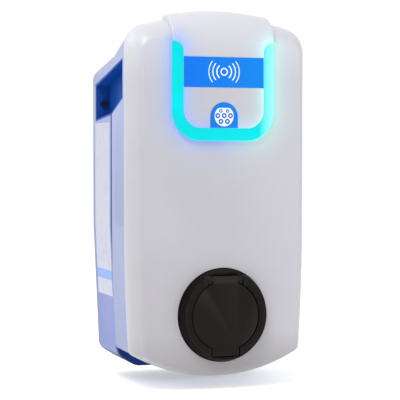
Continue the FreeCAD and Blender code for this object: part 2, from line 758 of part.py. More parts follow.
def pocket_liner(side, sign):
    """Blue cup in the side, its rear wall thick enough to carry the lock screw."""
    inner = d.half_width - d.pocket_depth
    skin = d.half_width - d.ring_inset - d.seam_groove
    outer = pocket_block(f"liner_{side}_outer", sign, d.pocket_wall, inner - d.pocket_wall, skin)
    room = pocket_block(f"liner_{side}_room", sign, 0, inner, d.half_width)
    seat_low, seat_high = sorted_pair(sign, inner - d.pocket_wall,
                                      d.half_width - d.rear_inset - d.housing_wall)
    seat = block(f"liner_{side}_seat", (seat_low, seat_high),
                 (-d.pocket_ledge, -(d.back_gap + d.housing_wall)),
                 (d.pocket_rear_low - d.pocket_wall, d.pocket_rear_top))
    hole = rod(f"liner_{side}_hole", (d.lock_side * sign, 0, d.lock_high), "-Y",
               d.lock_shank + d.screw_clear, d.pocket_ledge)
    return cut(f"pocket_liner_{side}_cut",
               joined(f"liner_{side}_walls", cut(f"liner_{side}_cup", outer, room), seat), hole)


def sorted_pair(sign, near, far):
    """Two distances from the centre plane as a (low, high) pair on one side."""
    near, far = size_of(near), size_of(far)
    return (near, far) if sign > 0 else (-far, -near)


def pocket_cutters(name):
    """What the side pockets take out of the outer shells, one per side."""
    return [pocket_block(f"{name}_{side}", sign, d.pocket_wall,
                         d.half_width - d.pocket_depth - d.pocket_wall, d.half_width + 5)
            for side, sign in (("right", 1), ("left", -1))]


def rear_housing():
    """Deep tray open to the front, with a shallow recess at its back for the wall plate."""
    body = new_body("rear_housing_shell")
    base = rear_outline(new_sketch(body, "rear_outer", 0), size_of(0))
    pad(body, base, d.housing_depth, "rear_block")
    fillet(body, "rear_bevels", d.bevel_round,
           lambda edge: runs_forward(edge) and abs(middle(edge).z + d.knee.value) > 1)
    fillet(body, "rear_back_edge", d.back_round, at_forward(size_of(0)))
    inside = rear_outline(new_sketch(body, "rear_inside", d.housing_depth), d.housing_wall)
    pocket(body, inside, d.housing_depth - d.back_gap - d.housing_wall, "rear_hollow")
    recess = rear_outline(new_sketch(body, "rear_recess", d.back_gap), d.rim_width)
    pocket(body, recess, d.back_gap, "rear_plate_recess")
    holes = new_sketch(body, "rear_holes", d.back_gap + d.housing_wall)
    for _, x, z in wall_holes():
        circle(holes, x, z, d.driver_hole)
    for _, x in sides(d.lock_side):
        circle(holes, x, d.lock_high, d.lock_shank + d.screw_clear)
    pocket(body, holes, d.housing_wall, "rear_back_holes")
    entries = [rod("rear_gland_entry", (d.gland_side, -d.gland_forward, -d.rear_low), "+Z",
                   d.gland_thread + d.screw_clear, d.housing_wall),
               rod("rear_blank_entry", (-d.blank_side, -d.gland_forward, -d.rear_low), "+Z",
                   d.blank_radius + d.screw_clear, d.housing_wall)]
    screws = [rod(f"rear_frame_hole_{name}", (x, -(d.housing_depth - 14), z), "-Y",
                  d.board_screw + d.screw_clear, 14) for name, x, z in frame_screw_places()]
    bosses = [rod(f"rear_frame_boss_{name}", (x, -(d.back_gap + d.housing_wall), z), "-Y",
                  4.0, d.housing_depth - d.back_gap - d.housing_wall)
              for name, x, z in frame_screw_places()]
    shell = cut("rear_housing_pocketed", body, *pocket_cutters("rear_pocket"), *entries)
    return cut("rear_housing_cut", joined("rear_with_bosses", shell, *bosses), *screws)


def frame_screw_places():
    """Screws that hold the middle ring and the blue frame to the housing's bosses."""
    side = d.half_width - d.lug_half * 2 - d.ring_wall
    return [(f"{name}_{level}", x, z) for name, x in sides(side)
            for level, z in (("mid", -d.knee + 20), ("low", -d.rear_low_corner + 34))]


def seam_frame():
    """Blue frame clamped in the seam, its rim showing as a dark line all round."""
    body = new_body("seam_frame_plate")
    pad(body, rear_outline(new_sketch(body, "seam_outer", d.housing_depth), d.seam_groove),
        d.seam_depth, "seam_block")
    fillet(body, "seam_bevels", d.bevel_round - d.seam_groove,
           lambda edge: runs_forward(edge) and abs(middle(edge).z + d.knee.value) > 1)
    window = new_sketch(body, "seam_window", d.housing_depth + d.seam_depth)
    half = d.window_half + d.seam_margin
    outline(window, [(half, d.rear_high_corner), (half, -d.rear_low_corner + 14),
                     (-half, -d.rear_low_corner + 14), (-half, d.rear_high_corner)])
    pocket(body, window, d.seam_depth, "seam_opening")
    holes = [rod(f"seam_hole_{name}", (x, -d.housing_depth, z), "-Y",
                 d.board_screw + d.screw_clear, d.seam_depth)
             for name, x, z in frame_screw_places()]
    return cut("seam_frame_cut", body, *pocket_cutters("seam_pocket"), *holes)


def middle_ring():
    """Ring behind the cover: outer skin, a web that carries the socket, a locating lip."""
    body = new_body("middle_ring_shell")
    start, web = d.housing_depth + d.seam_depth, d.cover_rim - d.web_thick
    loft(body, [ring_outline(new_sketch(body, f"ring_outer_{part}", forward), forward,
                             d.ring_inset)
                for part, forward in (("rear", start), ("front", web))], "ring_block")
    fillet(body, "ring_bevels", d.bevel_round,
           lambda edge: runs_forward(edge) and middle(edge).z > 100)
    fillet(body, "ring_low_corners", d.low_corner - d.ring_inset,
           lambda edge: runs_forward(edge) and middle(edge).z < -150)
    loft(body, [ring_outline(new_sketch(body, f"ring_hollow_{part}", forward), forward,
                             d.ring_inset + d.ring_wall)
                for part, forward in (("rear", start + d.web_thick), ("front", web))],
         "ring_room", "PartDesign::SubtractiveLoft")
    back = new_sketch(body, "ring_back_opening", start + d.web_thick)
    half = d.window_half + d.seam_margin
    outline(back, [(half, d.rear_high_corner), (half, -d.rear_low_corner + 14),
                   (-half, -d.rear_low_corner + 14), (-half, d.rear_high_corner)])
    pocket(body, back, d.web_thick, "ring_back_window")
    plate = new_body("middle_ring_web")
    pad(plate, front_outline(new_sketch(plate, "ring_web_outline", web), d.ring_inset),
        d.web_thick, "ring_web_block")
    round_front_corners(plate, "ring_web_corners", d.ring_inset)
    openings = new_sketch(plate, "ring_openings", d.cover_rim)
    half = d.window_half
    outline(openings, [(half, d.window_top), (half, -d.window_low),
                       (-half, -d.window_low), (-half, d.window_top)])
    circle(openings, 0, -d.socket_drop, d.core_radius - 1)
    pocket(plate, openings, d.web_thick, "ring_window")
    lugs, slots = [], []
    for side, x in sides(d.cover_screw_side):
        z = arc_height(BOW_CENTRE, d.bow_radius - d.cover_wall, d.cover_screw_side, -1) + 9
        lugs.append(block(f"ring_lug_{side}", (x - d.lug_half, x + d.lug_half),
                          (-(d.cover_screw_forward + d.lug_half), -(d.cover_rim - d.web_thick)),
                          (z, z + d.lug_thick)))
        slot = d.cover_screw_radius + d.stem_clear
        slots.append(block(f"ring_slot_{side}", (x - slot, x + slot),
                           (-(d.cover_screw_forward + d.lug_half),
                            -(d.cover_screw_forward - slot)), (z, z + d.lug_thick)))
    frame_bosses = [rod(f"ring_boss_{name}", (x, -start, z), "-Y", 4.5,
                        d.cover_rim - d.web_thick - start)
                    for name, x, z in frame_screw_places()]
    frame_holes = [rod(f"ring_hole_{name}", (x, -start, z), "-Y",
                       d.board_screw + d.screw_clear, d.cover_rim - start)
                   for name, x, z in frame_screw_places()]
    frame_holes += [rod(f"ring_head_room_{name}", (x, -(start + 8), z), "-Y", 3.0,
                        d.cover_rim - start - 8) for name, x, z in frame_screw_places()]
    socket_holes = [rod(f"ring_socket_hole_{number}", (x, -(d.cover_rim - d.web_thick), z), "-Y",
                        d.board_screw + d.screw_clear, d.web_thick)
                    for number, x, z in socket_screw_places()]
    guard_holes = [rod(f"ring_guard_hole_{number}", (x, -(d.cover_rim - d.web_thick), z), "-Y",
                       d.board_screw + d.screw_clear, d.web_thick)
                   for number, x, z in guard_screw_places()]
    whole = joined("ring_with_lugs", body, plate, ring_lip("ring_lip"), *lugs, *frame_bosses)
    return cut("middle_ring_cut", whole, *pocket_cutters("ring_pocket"), *slots, *frame_holes,
               *socket_holes, *guard_holes)


def rim_ring(name, forward, height, inset, wall):
    """A ring that follows the front outline."""
    outer = new_body(name + "_outside")
    pad(outer, front_outline(new_sketch(outer, name + "_outer", forward), inset), height,
        name + "_block")
    round_front_corners(outer, name + "_corners", inset)
    inner = new_body(name + "_inside")
    pad(inner, front_outline(new_sketch(inner, name + "_inner", forward), inset + wall), height,
        name + "_core")
    round_front_corners(inner, name + "_inner_corners", inset + wall)
    return cut(name + "_ring", outer, inner)


def ring_lip(name):
    return rim_ring(name, d.cover_rim - d.web_thick, d.web_thick + d.lip_rise, d.lip_inset,
                    d.lip_wall)


def cover_seal():
    """Soft ring round the locating lip, just clear of the cover's inside."""
    inset = d.cover_wall + d.seal_clear
    return rim_ring("cover_seal", d.cover_rim, size_of(2.0), inset, d.lip_inset - inset)


def screws(name, places, foot, head, shank, length, aim="-Y"):
    """Pan-head screws: each head sits in front of foot, its shank runs back from there."""
    back = {"-Y": "+Y", "+Z": "-Z", "-Z": "+Z", "+Y": "-Y"}[aim]
    made = []
    for number, x, other in places:
        point = (x, -size_of(foot), other) if aim in ("-Y", "+Y") else (x, -size_of(other), foot)
        cap = rod(f"{name}_head_{number}", point, aim, head, head * 0.7)
        drive = hexagon(f"{name}_drive_{number}", shifted(point, aim, head * 0.35), aim,
                        size_of(head) * 0.45, head)
        stem = rod(f"{name}_shank_{number}", point, back, shank, length)
        made.append(cut(f"{name}_{number}", joined(f"{name}_blank_{number}", cap, stem), drive))
    return together(name + "_set", made)


def shifted(point, aim, distance):
    """A point moved along an axis direction."""
    axis, sign = "XYZ".index(aim[1]), 1 if aim[0] == "+" else -1
    return tuple(size_of(value) + size_of(distance) * sign if index == axis else value
                 for index, value in enumerate(point))


def socket_screw_places():
    reach = (d.flange_radius + d.barrel_radius) / 2 * math.sqrt(0.5)
    return [(f"{side}_{level}", x, z - d.socket_drop) for side, x in sides(reach)
            for level, z in (("top", reach), ("low", -reach))]


def guard_screw_places():
    side, top = d.window_half + d.guard_margin / 2, d.window_top + d.guard_margin / 2
    low = d.window_low + d.guard_margin / 2
    return [("low_right", side - 12, -low), ("low_left", 12 - side, -low),
            ("top_right", side - 30, top), ("top_left", 30 - side, top)]


node("wall_plate", wall_plate())
node("rear_housing", rear_housing())
node("seam_frame", seam_frame())
node("middle_ring", middle_ring())
node("cover_seal", cover_seal())
node("pocket_liner_right", pocket_liner("right", 1))
node("pocket_liner_left", pocket_liner("left", -1))
node("wall_lock_screws", screws("lock_screw", [(side, x, d.lock_high)
                                               for side, x in sides(d.lock_side)],
                                d.pocket_ledge, d.lock_head, d.lock_shank,
                                d.pocket_ledge - d.plate_thick + 2))


# ---------------------------------------------------------------- cover, tongue and light guide
def front_cover():
    """Moulded shell with a hole for the drum and a U-shaped slot for the light guide."""
    body = new_body("front_cover_shell")
    cover_form(body, "cover", 0)
    holes = new_sketch(body, "cover_holes", d.cover_front)
    circle(holes, 0, -d.socket_drop, d.drum_radius + d.drum_hole_clear)
    pocket(body, holes, d.cover_wall + 1, "cover_drum_hole")
    slot = guide_outline(new_sketch(body, "cover_slot", d.cover_front),
                         (d.arm_width - d.guide_stem) / 2, 0, d.arm_top - 12, 2.0)
    pocket(body, slot, d.cover_wall + 1, "cover_light_slot")
    room = new_body("front_cover_room")
    cover_form(room, "cover_room", -d.cover_wall)
    shell = cut("cover_hollowed", body, room)
    inner = d.cover_front - d.cover_wall
    posts = [rod(f"cover_reader_post_{number}", (x, -(inner - d.reader_gap), z), "-Y",
                 d.post_radius, d.reader_gap + 1) for number, x, z in reader_screw_places()]
    posts += [rod(f"cover_led_post_{number}", (x, -(inner - d.led_gap), z), "-Y", 2.2,
                  d.led_gap + 1) for number, x, z in led_screw_places()]
    holes = [rod(f"cover_reader_hole_{number}", (x, -(inner - d.reader_gap), z), "-Y",
                 d.board_screw + d.screw_clear, d.reader_gap)
             for number, x, z in reader_screw_places()]
    holes += [rod(f"cover_led_hole_{number}", (x, -(inner - d.led_gap), z), "-Y",
                  1.0 + d.screw_clear, d.led_gap) for number, x, z in led_screw_places()]
    low = arc_height(BOW_CENTRE, d.bow_radius + 2, d.cover_screw_side, -1)
    holes += [rod(f"cover_screw_hole_{side}", (x, -d.cover_screw_forward, low), "+Z",
                  d.cover_screw_radius + d.screw_clear, 14)
              for side, x in sides(d.cover_screw_side)]
    seats = [rod(f"cover_screw_seat_{side}", (x, -d.cover_screw_forward, cover_seat_height()),
                 "+Z", d.cover_screw_head + 1, 6.5) for side, x in sides(d.cover_screw_side)]
    rooms = [rod(f"cover_head_room_{side}", (x, -d.cover_screw_forward, low - 12), "+Z",
                 d.cover_screw_head + 0.4, cover_seat_height() + 2.5 - low + 12)
             for side, x in sides(d.cover_screw_side)]
    return cut("front_cover_cut", joined("cover_with_posts", shell, *posts, *seats),
               *holes, *rooms)


def cover_seat_height():
    """Height of the outer end of the bosses that seat the cover screws."""
    return arc_height(BOW_CENTRE, d.bow_radius - d.cover_wall, d.cover_screw_side, -1) + 1.5


def cover_screws():
    """Captive screws with a nut each; the slotted lug slides out between the two."""
    seat = cover_seat_height() + 2.5
    made = []
    lug = arc_height(BOW_CENTRE, d.bow_radius - d.cover_wall, d.cover_screw_side, -1) + 9
    for side, x in sides(d.cover_screw_side):
        head = rod(f"cover_screw_head_{side}", (x, -d.cover_screw_forward, seat), "-Z",
                   d.cover_screw_head, 2.6)
        drive = hexagon(f"cover_screw_drive_{side}", (x, -d.cover_screw_forward, seat - 1.3),
                        "-Z", 1.6, 3)
        shank = rod(f"cover_screw_shank_{side}", (x, -d.cover_screw_forward, seat), "+Z",
                    d.cover_screw_radius, lug + d.lug_thick + 6 - seat)
        nut = hexagon(f"cover_screw_nut_{side}",
                      (x, -d.cover_screw_forward, lug + d.lug_thick + d.seal_clear), "+Z",
                      4.0, 3.5)
        made.append(cut(f"cover_screw_{side}",
                        joined(f"cover_screw_blank_{side}", head, shank, nut), drive))
    return together("cover_screw_set", made)


def tongue_panel():
    """Raised panel that runs from inside the light guide up over the top edge."""
    body = new_body("tongue_panel_body")
    cover_form(body, "tongue", d.tongue_rise)
    low = -d.bow_low - 20
    for side, near, far in (("right", d.tongue_half, d.half_width + 20),
                            ("left", -d.half_width - 20, -d.tongue_half)):
        sketch = new_sketch(body, f"tongue_{side}_cut", d.cover_front + d.tongue_rise + 1)
        outline(sketch, [(far, d.crown_top + 20), (far, low), (near, low),
                         (near, d.crown_top + 20)])
        pocket(body, sketch, d.cover_front, f"tongue_{side}_side")
    fillet(body, "tongue_side_edges", 1.2,
           lambda edge: abs(abs(middle(edge).x) - d.tongue_half.value) < 0.01
           and middle(edge).z > d.arm_top.value - 1 and -middle(edge).y > d.cover_rim.value + 0.1)
    below = new_sketch(body, "tongue_below", d.cover_front + d.tongue_rise + 1)
    guide_surround(below)
    pocket(body, below, d.cover_front, "tongue_round_guide")
    inner = new_body("tongue_inner_form")
    cover_form(inner, "tongue_inner", d.film_gap)
    return cut("tongue_panel_cut", body, inner)


def guide_surround(sketch):
    """Everything below and beside the light guide's inner line, with clearance."""
    clear = d.panel_clear
    inner, floor = GUIDE_INNER - clear, GUIDE_FLOOR + clear
    bend = d.tongue_half - d.guide_outer_round
    top, round_ = d.arm_top + clear, d.arm_top_round + clear
    arm_cx, arm_cz = GUIDE_INNER + d.arm_top_round, d.arm_top - d.arm_top_round
    wide, low = d.half_width + 20, -d.bow_low - 20
    right = [(bend, floor),
             (inner, floor + (inner - bend), bend, floor + (inner - bend)),
             (inner, arm_cz),
             (arm_cx, top, arm_cx, arm_cz),
             (wide, top),
             (wide, low)]
    outline(sketch, mirrored(right))


def light_guide():
    """Clear U whose face stands flush with the tongue; its stem passes the cover's slot."""
    body = new_body("light_guide_body")
    face = guide_outline(new_sketch(body, "guide_face", d.cover_front), 0, 0, d.arm_top,
                         d.arm_top_round)
    pad(body, face, d.tongue_rise, "guide_plate")
    fillet(body, "guide_front_edges", d.guide_edge, at_forward(d.cover_front + d.tongue_rise))
    stem_long = d.cover_wall + 0.6
    stem = guide_outline(new_sketch(body, "guide_stem_outline", d.cover_front - stem_long),
                         (d.arm_width - d.guide_stem) / 2, -d.stem_clear,
                         d.arm_top - 12 - d.stem_clear, 1.8)
    pad(body, stem, stem_long, "guide_stem_pad")
    return body


def reader_screw_places():
    side = d.reader_half - 5
    return [(f"{name}_{level}", x, z) for name, x in sides(side)
            for level, z in (("top", d.reader_low + d.reader_high - 5),
                             ("low", d.reader_low + 5))]


def led_screw_places():
    """Beside the light slot, inside the U of the light board."""
    x = GUIDE_INNER - 3.5
    return [("arm_right", x, d.arm_top - 20), ("arm_left", -x, d.arm_top - 20),
            ("bar_right", size_of(22), GUIDE_FLOOR + 3.5), ("bar_left", size_of(-22),
                                                            GUIDE_FLOOR + 3.5)]


def led_board():
    """U-shaped board behind the light slot."""
    body = new_body("led_board_body")
    forward = d.cover_front - d.cover_wall - d.led_gap - d.board_thick
    inner, floor = GUIDE_INNER - 7, GUIDE_FLOOR + 7
    outer, low = d.tongue_half - 1, d.tongue_low + 1
    bend = d.tongue_half - d.guide_outer_round
    right = [(bend, floor), (inner, floor + (inner - bend), bend, floor + (inner - bend)),
             (inner, d.arm_top - 10), (outer, d.arm_top - 10), (outer, low + (outer - bend)),
             (bend, low, bend, low + (outer - bend))]
    sketch = new_sketch(body, "led_board_outline", forward)
    outline(sketch, mirrored(right))
    for _, x, z in led_screw_places():
        circle(sketch, x, z, 1.1)
    pad(body, sketch, d.board_thick, "led_board_pad")
    return body


def led_places():
    """Lamps along the middle of the slot: up each arm, round the bends, along the bar."""
    middle_half = (d.tongue_half + GUIDE_INNER) / 2
    middle_low = (d.tongue_low + GUIDE_FLOOR) / 2
    bend = d.tongue_half - d.guide_outer_round
    turn = middle_half - bend
    places = [(size_of(x), middle_low) for x in (-24, -12, 0, 12, 24)]
    for side in (1, -1):
        for angle in (25, 60):
            reach = turn * math.cos(math.radians(angle))
            drop = turn * math.sin(math.radians(angle))
            places.append(((bend + reach) * side, middle_low + turn - drop))
        for step in range(5):
            places.append((middle_half * side, middle_low + turn + 8 + 11.5 * step))
    return places


def status_lamps():
    forward = d.cover_front - d.cover_wall - d.led_gap
    half = d.led_side / 2
    return together("status_lamp_set", [
        block(f"lamp_{number}", (x - half, x + half), (-(forward + d.led_rise), -forward),
              (z - half, z + half)) for number, (x, z) in enumerate(led_places())])


def reader_board():
    forward = d.cover_front - d.cover_wall - d.reader_gap - d.board_thick
    board = block("reader_sheet", (-d.reader_half, d.reader_half),
                  (-(forward + d.board_thick), -forward),
                  (d.reader_low, d.reader_low + d.reader_high))
    chip = block("reader_chip", (-7, 7), (-forward, -(forward - 2.2)),
                 (d.reader_low + 18, d.reader_low + 32))
    plug = block("reader_plug", (14, 26), (-forward, -(forward - 6)),
                 (d.reader_low + 8, d.reader_low + 15))
    holes = [rod(f"reader_hole_{number}", (x, -forward, z), "-Y",
                 d.board_screw + d.screw_clear, d.board_thick)
             for number, x, z in reader_screw_places()]
    return cut("reader_board_cut", joined("reader_board_parts", board, chip, plug), *holes)


def reader_screws():
    """Screws from behind into the cover's posts."""
    back = d.cover_front - d.cover_wall - d.reader_gap - d.board_thick
    return screws("reader_screw", reader_screw_places(), back, 2.6, d.board_screw, 8.0, "+Y")


def led_board_screws():
    back = d.cover_front - d.cover_wall - d.led_gap - d.board_thick
    return screws("led_screw", led_screw_places(), back, 1.9, 1.0, 4.4, "+Y")




def reader_band():
    """Printed band across the tongue with a contactless symbol."""
    forward = d.cover_front + d.tongue_rise
    half = GUIDE_INNER - d.panel_clear - 0.4
    band = block("reader_band", (-half, half), (-(forward + d.print_thick), -forward),
                 (d.band_low, d.band_low + d.band_height))
    return band


def plug_badge():
    """Arch-topped badge above the light guide's lower bar."""
    body = new_body("plug_badge_body")
    sketch = new_sketch(body, "badge_outline", d.cover_front + d.tongue_rise)
    low = GUIDE_FLOOR + d.panel_clear + 0.4
    shoulder = low + d.badge_height - d.badge_half
    half = d.badge_half
    right = [(half, shoulder), (half, low)]
    corners = mirrored(right)
    corners[0] = (half, shoulder, ZERO, shoulder - 0.01)
    outline(sketch, corners)
    pad(body, sketch, d.print_thick, "badge_pad")
    return body


node("front_cover", front_cover())
node("cover_screws", cover_screws())
node("tongue_panel", tongue_panel())
node("light_guide", light_guide())
node("led_board", led_board())
node("status_lamps", status_lamps())
node("led_board_screws", led_board_screws())
node("reader_board", reader_board())
node("reader_screws", reader_screws())
node("reader_band", reader_band())
node("plug_badge", plug_badge())


# ---------------------------------------------------------------- socket outlet
# These bodies are drawn about the socket's axis and placed down on it.
def on_socket_axis(obj):
    place(obj, 0, 0, -d.socket_drop)
    return obj


def flat_disc(sketch, radius, flat):
    """A circle with a flat across its top."""
    half = root(radius * radius - flat * flat)
    lower = -radius * 0.8
    side = root(radius * radius - lower * lower)
    corners = [(half, flat), (side, lower, 0, 0), (-side, lower, 0, 0), (-half, flat, 0, 0)]
    outline(sketch, corners)
    return sketch


def revolved(body, name, profile):
    """Turn a profile of (forward, radius) corners about the body's Y axis."""
    sketch = body.newObject("Sketcher::SketchObject", name)
    sketch.AttachmentSupport = [(origin_plane(body, "YZ_Plane"), "")]
    sketch.MapMode = "FlatFace"
    for number, (forward, radius) in enumerate(profile):
        start = Vector(-size_of(profile[number - 1][0]).value,
                       size_of(profile[number - 1][1]).value, 0)
        end = Vector(-size_of(forward).value, size_of(radius).value, 0)
        geo = sketch.addGeometry(Part.LineSegment(start, end))
        if number:
            sketch.addConstraint(Sketcher.Constraint("Coincident", geo - 1, 2, geo, 1))
        if size_of(radius).value == 0:
            sketch.addConstraint(Sketcher.Constraint("PointOnObject", geo, 2, -1))
            index = sketch.addConstraint(Sketcher.Constraint(
                "DistanceX", geo, 2, -1, 1, size_of(forward).value))
            bind(sketch, f"Constraints[{index}]", forward)
        else:
            fix_point(sketch, geo, 2, -size_of(forward), radius)
    sketch.addConstraint(Sketcher.Constraint("Coincident", len(profile) - 1, 2, 0, 1))
    feature = body.newObject("PartDesign::Revolution", name + "_turn")
    feature.Profile = sketch
    feature.ReferenceAxis = (origin_plane(body, "Y_Axis"), [""])
    feature.Angle = 360
    return feature


def socket_housing():
    """Drum that stands out of the cover, its hollow barrel and its mounting flange."""
    body = new_body("socket_housing_body")
    wall = d.drum_wall
    revolved(body, "drum_profile", [
        (d.cover_rim, 0), (d.lid_floor, 0), (d.lid_floor, d.lid_radius + d.lid_gap),
        (d.drum_front, d.lid_radius + d.lid_gap), (d.drum_front, d.drum_face_radius),
        (d.drum_shoulder, d.drum_radius), (d.barrel_front, d.drum_radius),
        (d.barrel_front, d.barrel_radius), (d.cover_rim + d.flange_thick, d.barrel_radius),
        (d.cover_rim + d.flange_thick, d.flange_radius), (d.cover_rim, d.flange_radius),
        (d.cover_rim, d.barrel_radius - wall), (d.barrel_front - wall, d.barrel_radius - wall),
        (d.barrel_front - wall, d.drum_radius - wall), (d.drum_hollow, d.drum_radius - wall),
        (d.drum_hollow, d.well_radius), (d.cover_rim, d.well_radius)])
    fillet(body, "drum_face_edge", 1.2,
           lambda edge: at_forward(d.drum_front)(edge)
           and abs(edge.Curve.Radius - d.drum_face_radius.value) < 0.01)
    crescent = new_sketch(body, "crescent", d.drum_front)
    wide = d.drum_radius + 10
    outline(crescent, [(wide, wide), (wide, d.chord_rise), (-wide, d.chord_rise), (-wide, wide)])
    pocket(body, crescent, d.drum_front - d.crescent_floor, "crescent_step")
    neck = new_sketch(body, "neck_slot", d.drum_front)
    half = d.neck_half + d.lid_gap
    outline(neck, [(half, d.chord_rise + 1), (half, 28), (-half, 28), (-half, d.chord_rise + 1)])
    pocket(body, neck, d.drum_front - d.hinge_forward + d.knuckle_radius + 0.5, "neck_room")
    swing = new_sketch(body, "swing_relief", d.drum_front)
    half, low = d.neck_half + 7.5, d.hinge_rise - 8.5
    outline(swing, [(half, d.chord_rise + 1), (half, low), (-half, low),
                    (-half, d.chord_rise + 1)])
    pocket(body, swing, d.swing_room, "swing_room_cut")
    tab = new_sketch(body, "tab_slot", d.drum_front)
    half = d.tab_half + d.lid_gap
    outline(tab, [(half, -30), (half, -d.tab_reach - d.lid_gap),
                  (-half, -d.tab_reach - d.lid_gap), (-half, -30)])
    pocket(body, tab, d.drum_front - d.lid_floor, "tab_room")
    well = flat_disc(new_sketch(body, "plug_well", d.lid_floor), d.plug_radius, d.plug_flat)
    pocket(body, well, d.lid_floor - d.cover_rim, "plug_well_bore")
    on_socket_axis(body)
    pin = rod("housing_pin_bore", (-d.pin_half, -d.hinge_forward, d.hinge_rise - d.socket_drop),
              "+X", d.hinge_pin + d.screw_clear, d.pin_half * 2)
    bolt = rod("housing_lock_bore", (0, -d.lock_forward, d.plug_flat - 1 - d.socket_drop), "+Z",
               d.lock_pin + d.lock_pin_clear, 12)
    holes = [rod(f"housing_screw_hole_{number}", (x, -d.cover_rim, z), "-Y",
                 d.board_screw + d.screw_clear, d.flange_thick)
             for number, x, z in socket_screw_places()]
    heads = [rod(f"housing_head_room_{number}", (x, -(d.cover_rim + d.flange_thick), z), "-Y",
                 3.2, 20) for number, x, z in socket_screw_places()]
    cradle = joined("actuator_cradle", *[
        block(f"cradle_{side}", sorted_pair(sign, d.actuator_half + 0.1, d.actuator_half + 3.1),
              (-d.barrel_front + wall / 2, -(d.lock_forward - d.actuator_half_depth)),
              (d.actuator_low - d.socket_drop, d.actuator_low + d.actuator_high - d.socket_drop))
        for side, sign in (("right", 1), ("left", -1))])
    return cut("socket_housing_cut", joined("socket_with_cradle", body, cradle),
               pin, bolt, *holes, *heads)


def contact_places():
    """Seven contacts: protective earth in the middle, pilots above, phases round it."""
    power = [("earth", ZERO, ZERO), ("side_right", d.pin_pitch, ZERO),
             ("side_left", -d.pin_pitch, ZERO), ("low_right", d.low_pin_side, -d.low_pin_drop),
             ("low_left", -d.low_pin_side, -d.low_pin_drop)]
    pilots = [("pilot_right", d.pilot_side, d.pilot_rise),
              ("pilot_left", -d.pilot_side, d.pilot_rise)]
    return ([(name, x, z - d.socket_drop, d.sleeve_bore, d.sleeve_wall) for name, x, z in power]
            + [(name, x, z - d.socket_drop, d.pilot_bore, d.pilot_wall)
               for name, x, z in pilots])


def contact_bores(name, start, length):
    """Seats for the seven sleeves through a piece of the contact carrier."""
    return [rod(f"{name}_seat_{contact}", (x, -start, z), "-Y", bore + wall, length)
            for contact, x, z, bore, wall in contact_places()]


def contact_base():
    """Foot of the contact carrier; it fills the bottom of the plug well."""
    body = new_body("contact_base_body")
    foot = flat_disc(new_sketch(body, "base_outline", d.cover_rim),
                     d.plug_radius - d.core_clear, d.plug_flat - d.core_clear)
    pad(body, foot, d.core_base, "base_disc")
    on_socket_axis(body)
    return cut("contact_base_cut", body, *contact_bores("base", d.cover_rim, d.core_base))


def socket_core():
    """Contact tower with a flat on top, standing on its foot."""
    body = new_body("socket_core_body")
    start = d.cover_rim + d.core_base
    pad(body, flat_disc(new_sketch(body, "core_outline", start), d.core_radius, d.core_flat),
        d.core_front - start, "core_tower")
    on_socket_axis(body)
    return cut("socket_core_cut", body, *contact_bores("core", start, d.core_front - start))


def socket_contacts():
    """Split-free sleeves, open in front, their tails behind the web."""
    made = []
    start = d.cover_rim - d.contact_tail
    for name, x, z, bore, wall in contact_places():
        sleeve = rod(f"contact_{name}_tube", (x, -start, z), "-Y", bore + wall,
                     d.core_front - d.contact_sunk - start)
        hole = rod(f"contact_{name}_bore", (x, -d.cover_rim, z), "-Y", bore,
                   d.core_front - d.cover_rim)
        made.append(cut(f"contact_{name}", sleeve, hole))
    return together("contact_set", made)


def socket_gasket():
    """Face seal between the barrel and the back of the cover."""
    outer = rod("gasket_outer", (0, -d.barrel_front, -d.socket_drop), "-Y",
                d.barrel_radius - 0.5,
                d.cover_front - d.cover_wall - d.seal_clear - d.barrel_front)
    inner = rod("gasket_inner", (0, -d.barrel_front, -d.socket_drop), "-Y",
                d.drum_radius + d.drum_hole_clear + 0.8, 10)
    return cut("socket_gasket_cut", outer, inner)


def socket_lid():
    """Keyhole-shaped lid: disc, neck with two knuckles, and a finger tab."""
    body = new_body("socket_lid_body")
    back = d.drum_front - d.lid_thick
    disc = new_sketch(body, "lid_outline", back)
    neck_z = root(d.lid_radius * d.lid_radius - d.neck_half * d.neck_half)
    tab_z = root(d.lid_radius * d.lid_radius - d.tab_half * d.tab_half)
    neck_top = d.hinge_rise
    outline(disc, [(d.neck_half, neck_top), (d.neck_half, neck_z),
                   (d.lid_radius * 0.9, root(d.lid_radius * d.lid_radius * 0.19), 0, 0),
                   (d.tab_half, -tab_z, 0, 0), (d.tab_half, -d.tab_reach),
                   (-d.tab_half, -d.tab_reach), (-d.tab_half, -tab_z),
                   (-d.lid_radius * 0.9, root(d.lid_radius * d.lid_radius * 0.19), 0, 0),
                   (-d.neck_half, neck_z, 0, 0), (-d.neck_half, neck_top)])
    pad(body, disc, d.lid_thick, "lid_plate")
    fillet(body, "lid_face_edge", 0.8,
           lambda edge: at_forward(d.drum_front)(edge) and middle(edge).z < d.hinge_rise.value - 1)
    on_socket_axis(body)
    high = d.hinge_rise - d.socket_drop
    knuckle = rod("lid_knuckle", (-d.neck_half, -d.hinge_forward, high), "+X",
                  d.knuckle_radius, d.neck_half * 2)
    bore = rod("lid_pin_bore", (-d.neck_half, -d.hinge_forward, high), "+X",
               d.hinge_pin + d.pin_clear, d.neck_half * 2)
    side = d.spring_half + d.spring_gap
    room = rod("lid_spring_room", (-side, -d.hinge_forward, high), "+X",
               d.knuckle_radius - d.knuckle_skin, side * 2)
    keep = rod("lid_front_keep", (-d.neck_half, -d.hinge_forward, high), "+X",
               d.knuckle_radius, d.neck_half * 2)
    above = block("lid_above_hinge", (-d.neck_half, d.neck_half),
                  (-(d.drum_front + 1), -(back - 1)), (high, high + 5))
    edge = cut("lid_hinge_edge", above, keep)
    return cut("socket_lid_cut", joined("lid_with_knuckles", body, knuckle), bore, room, edge)


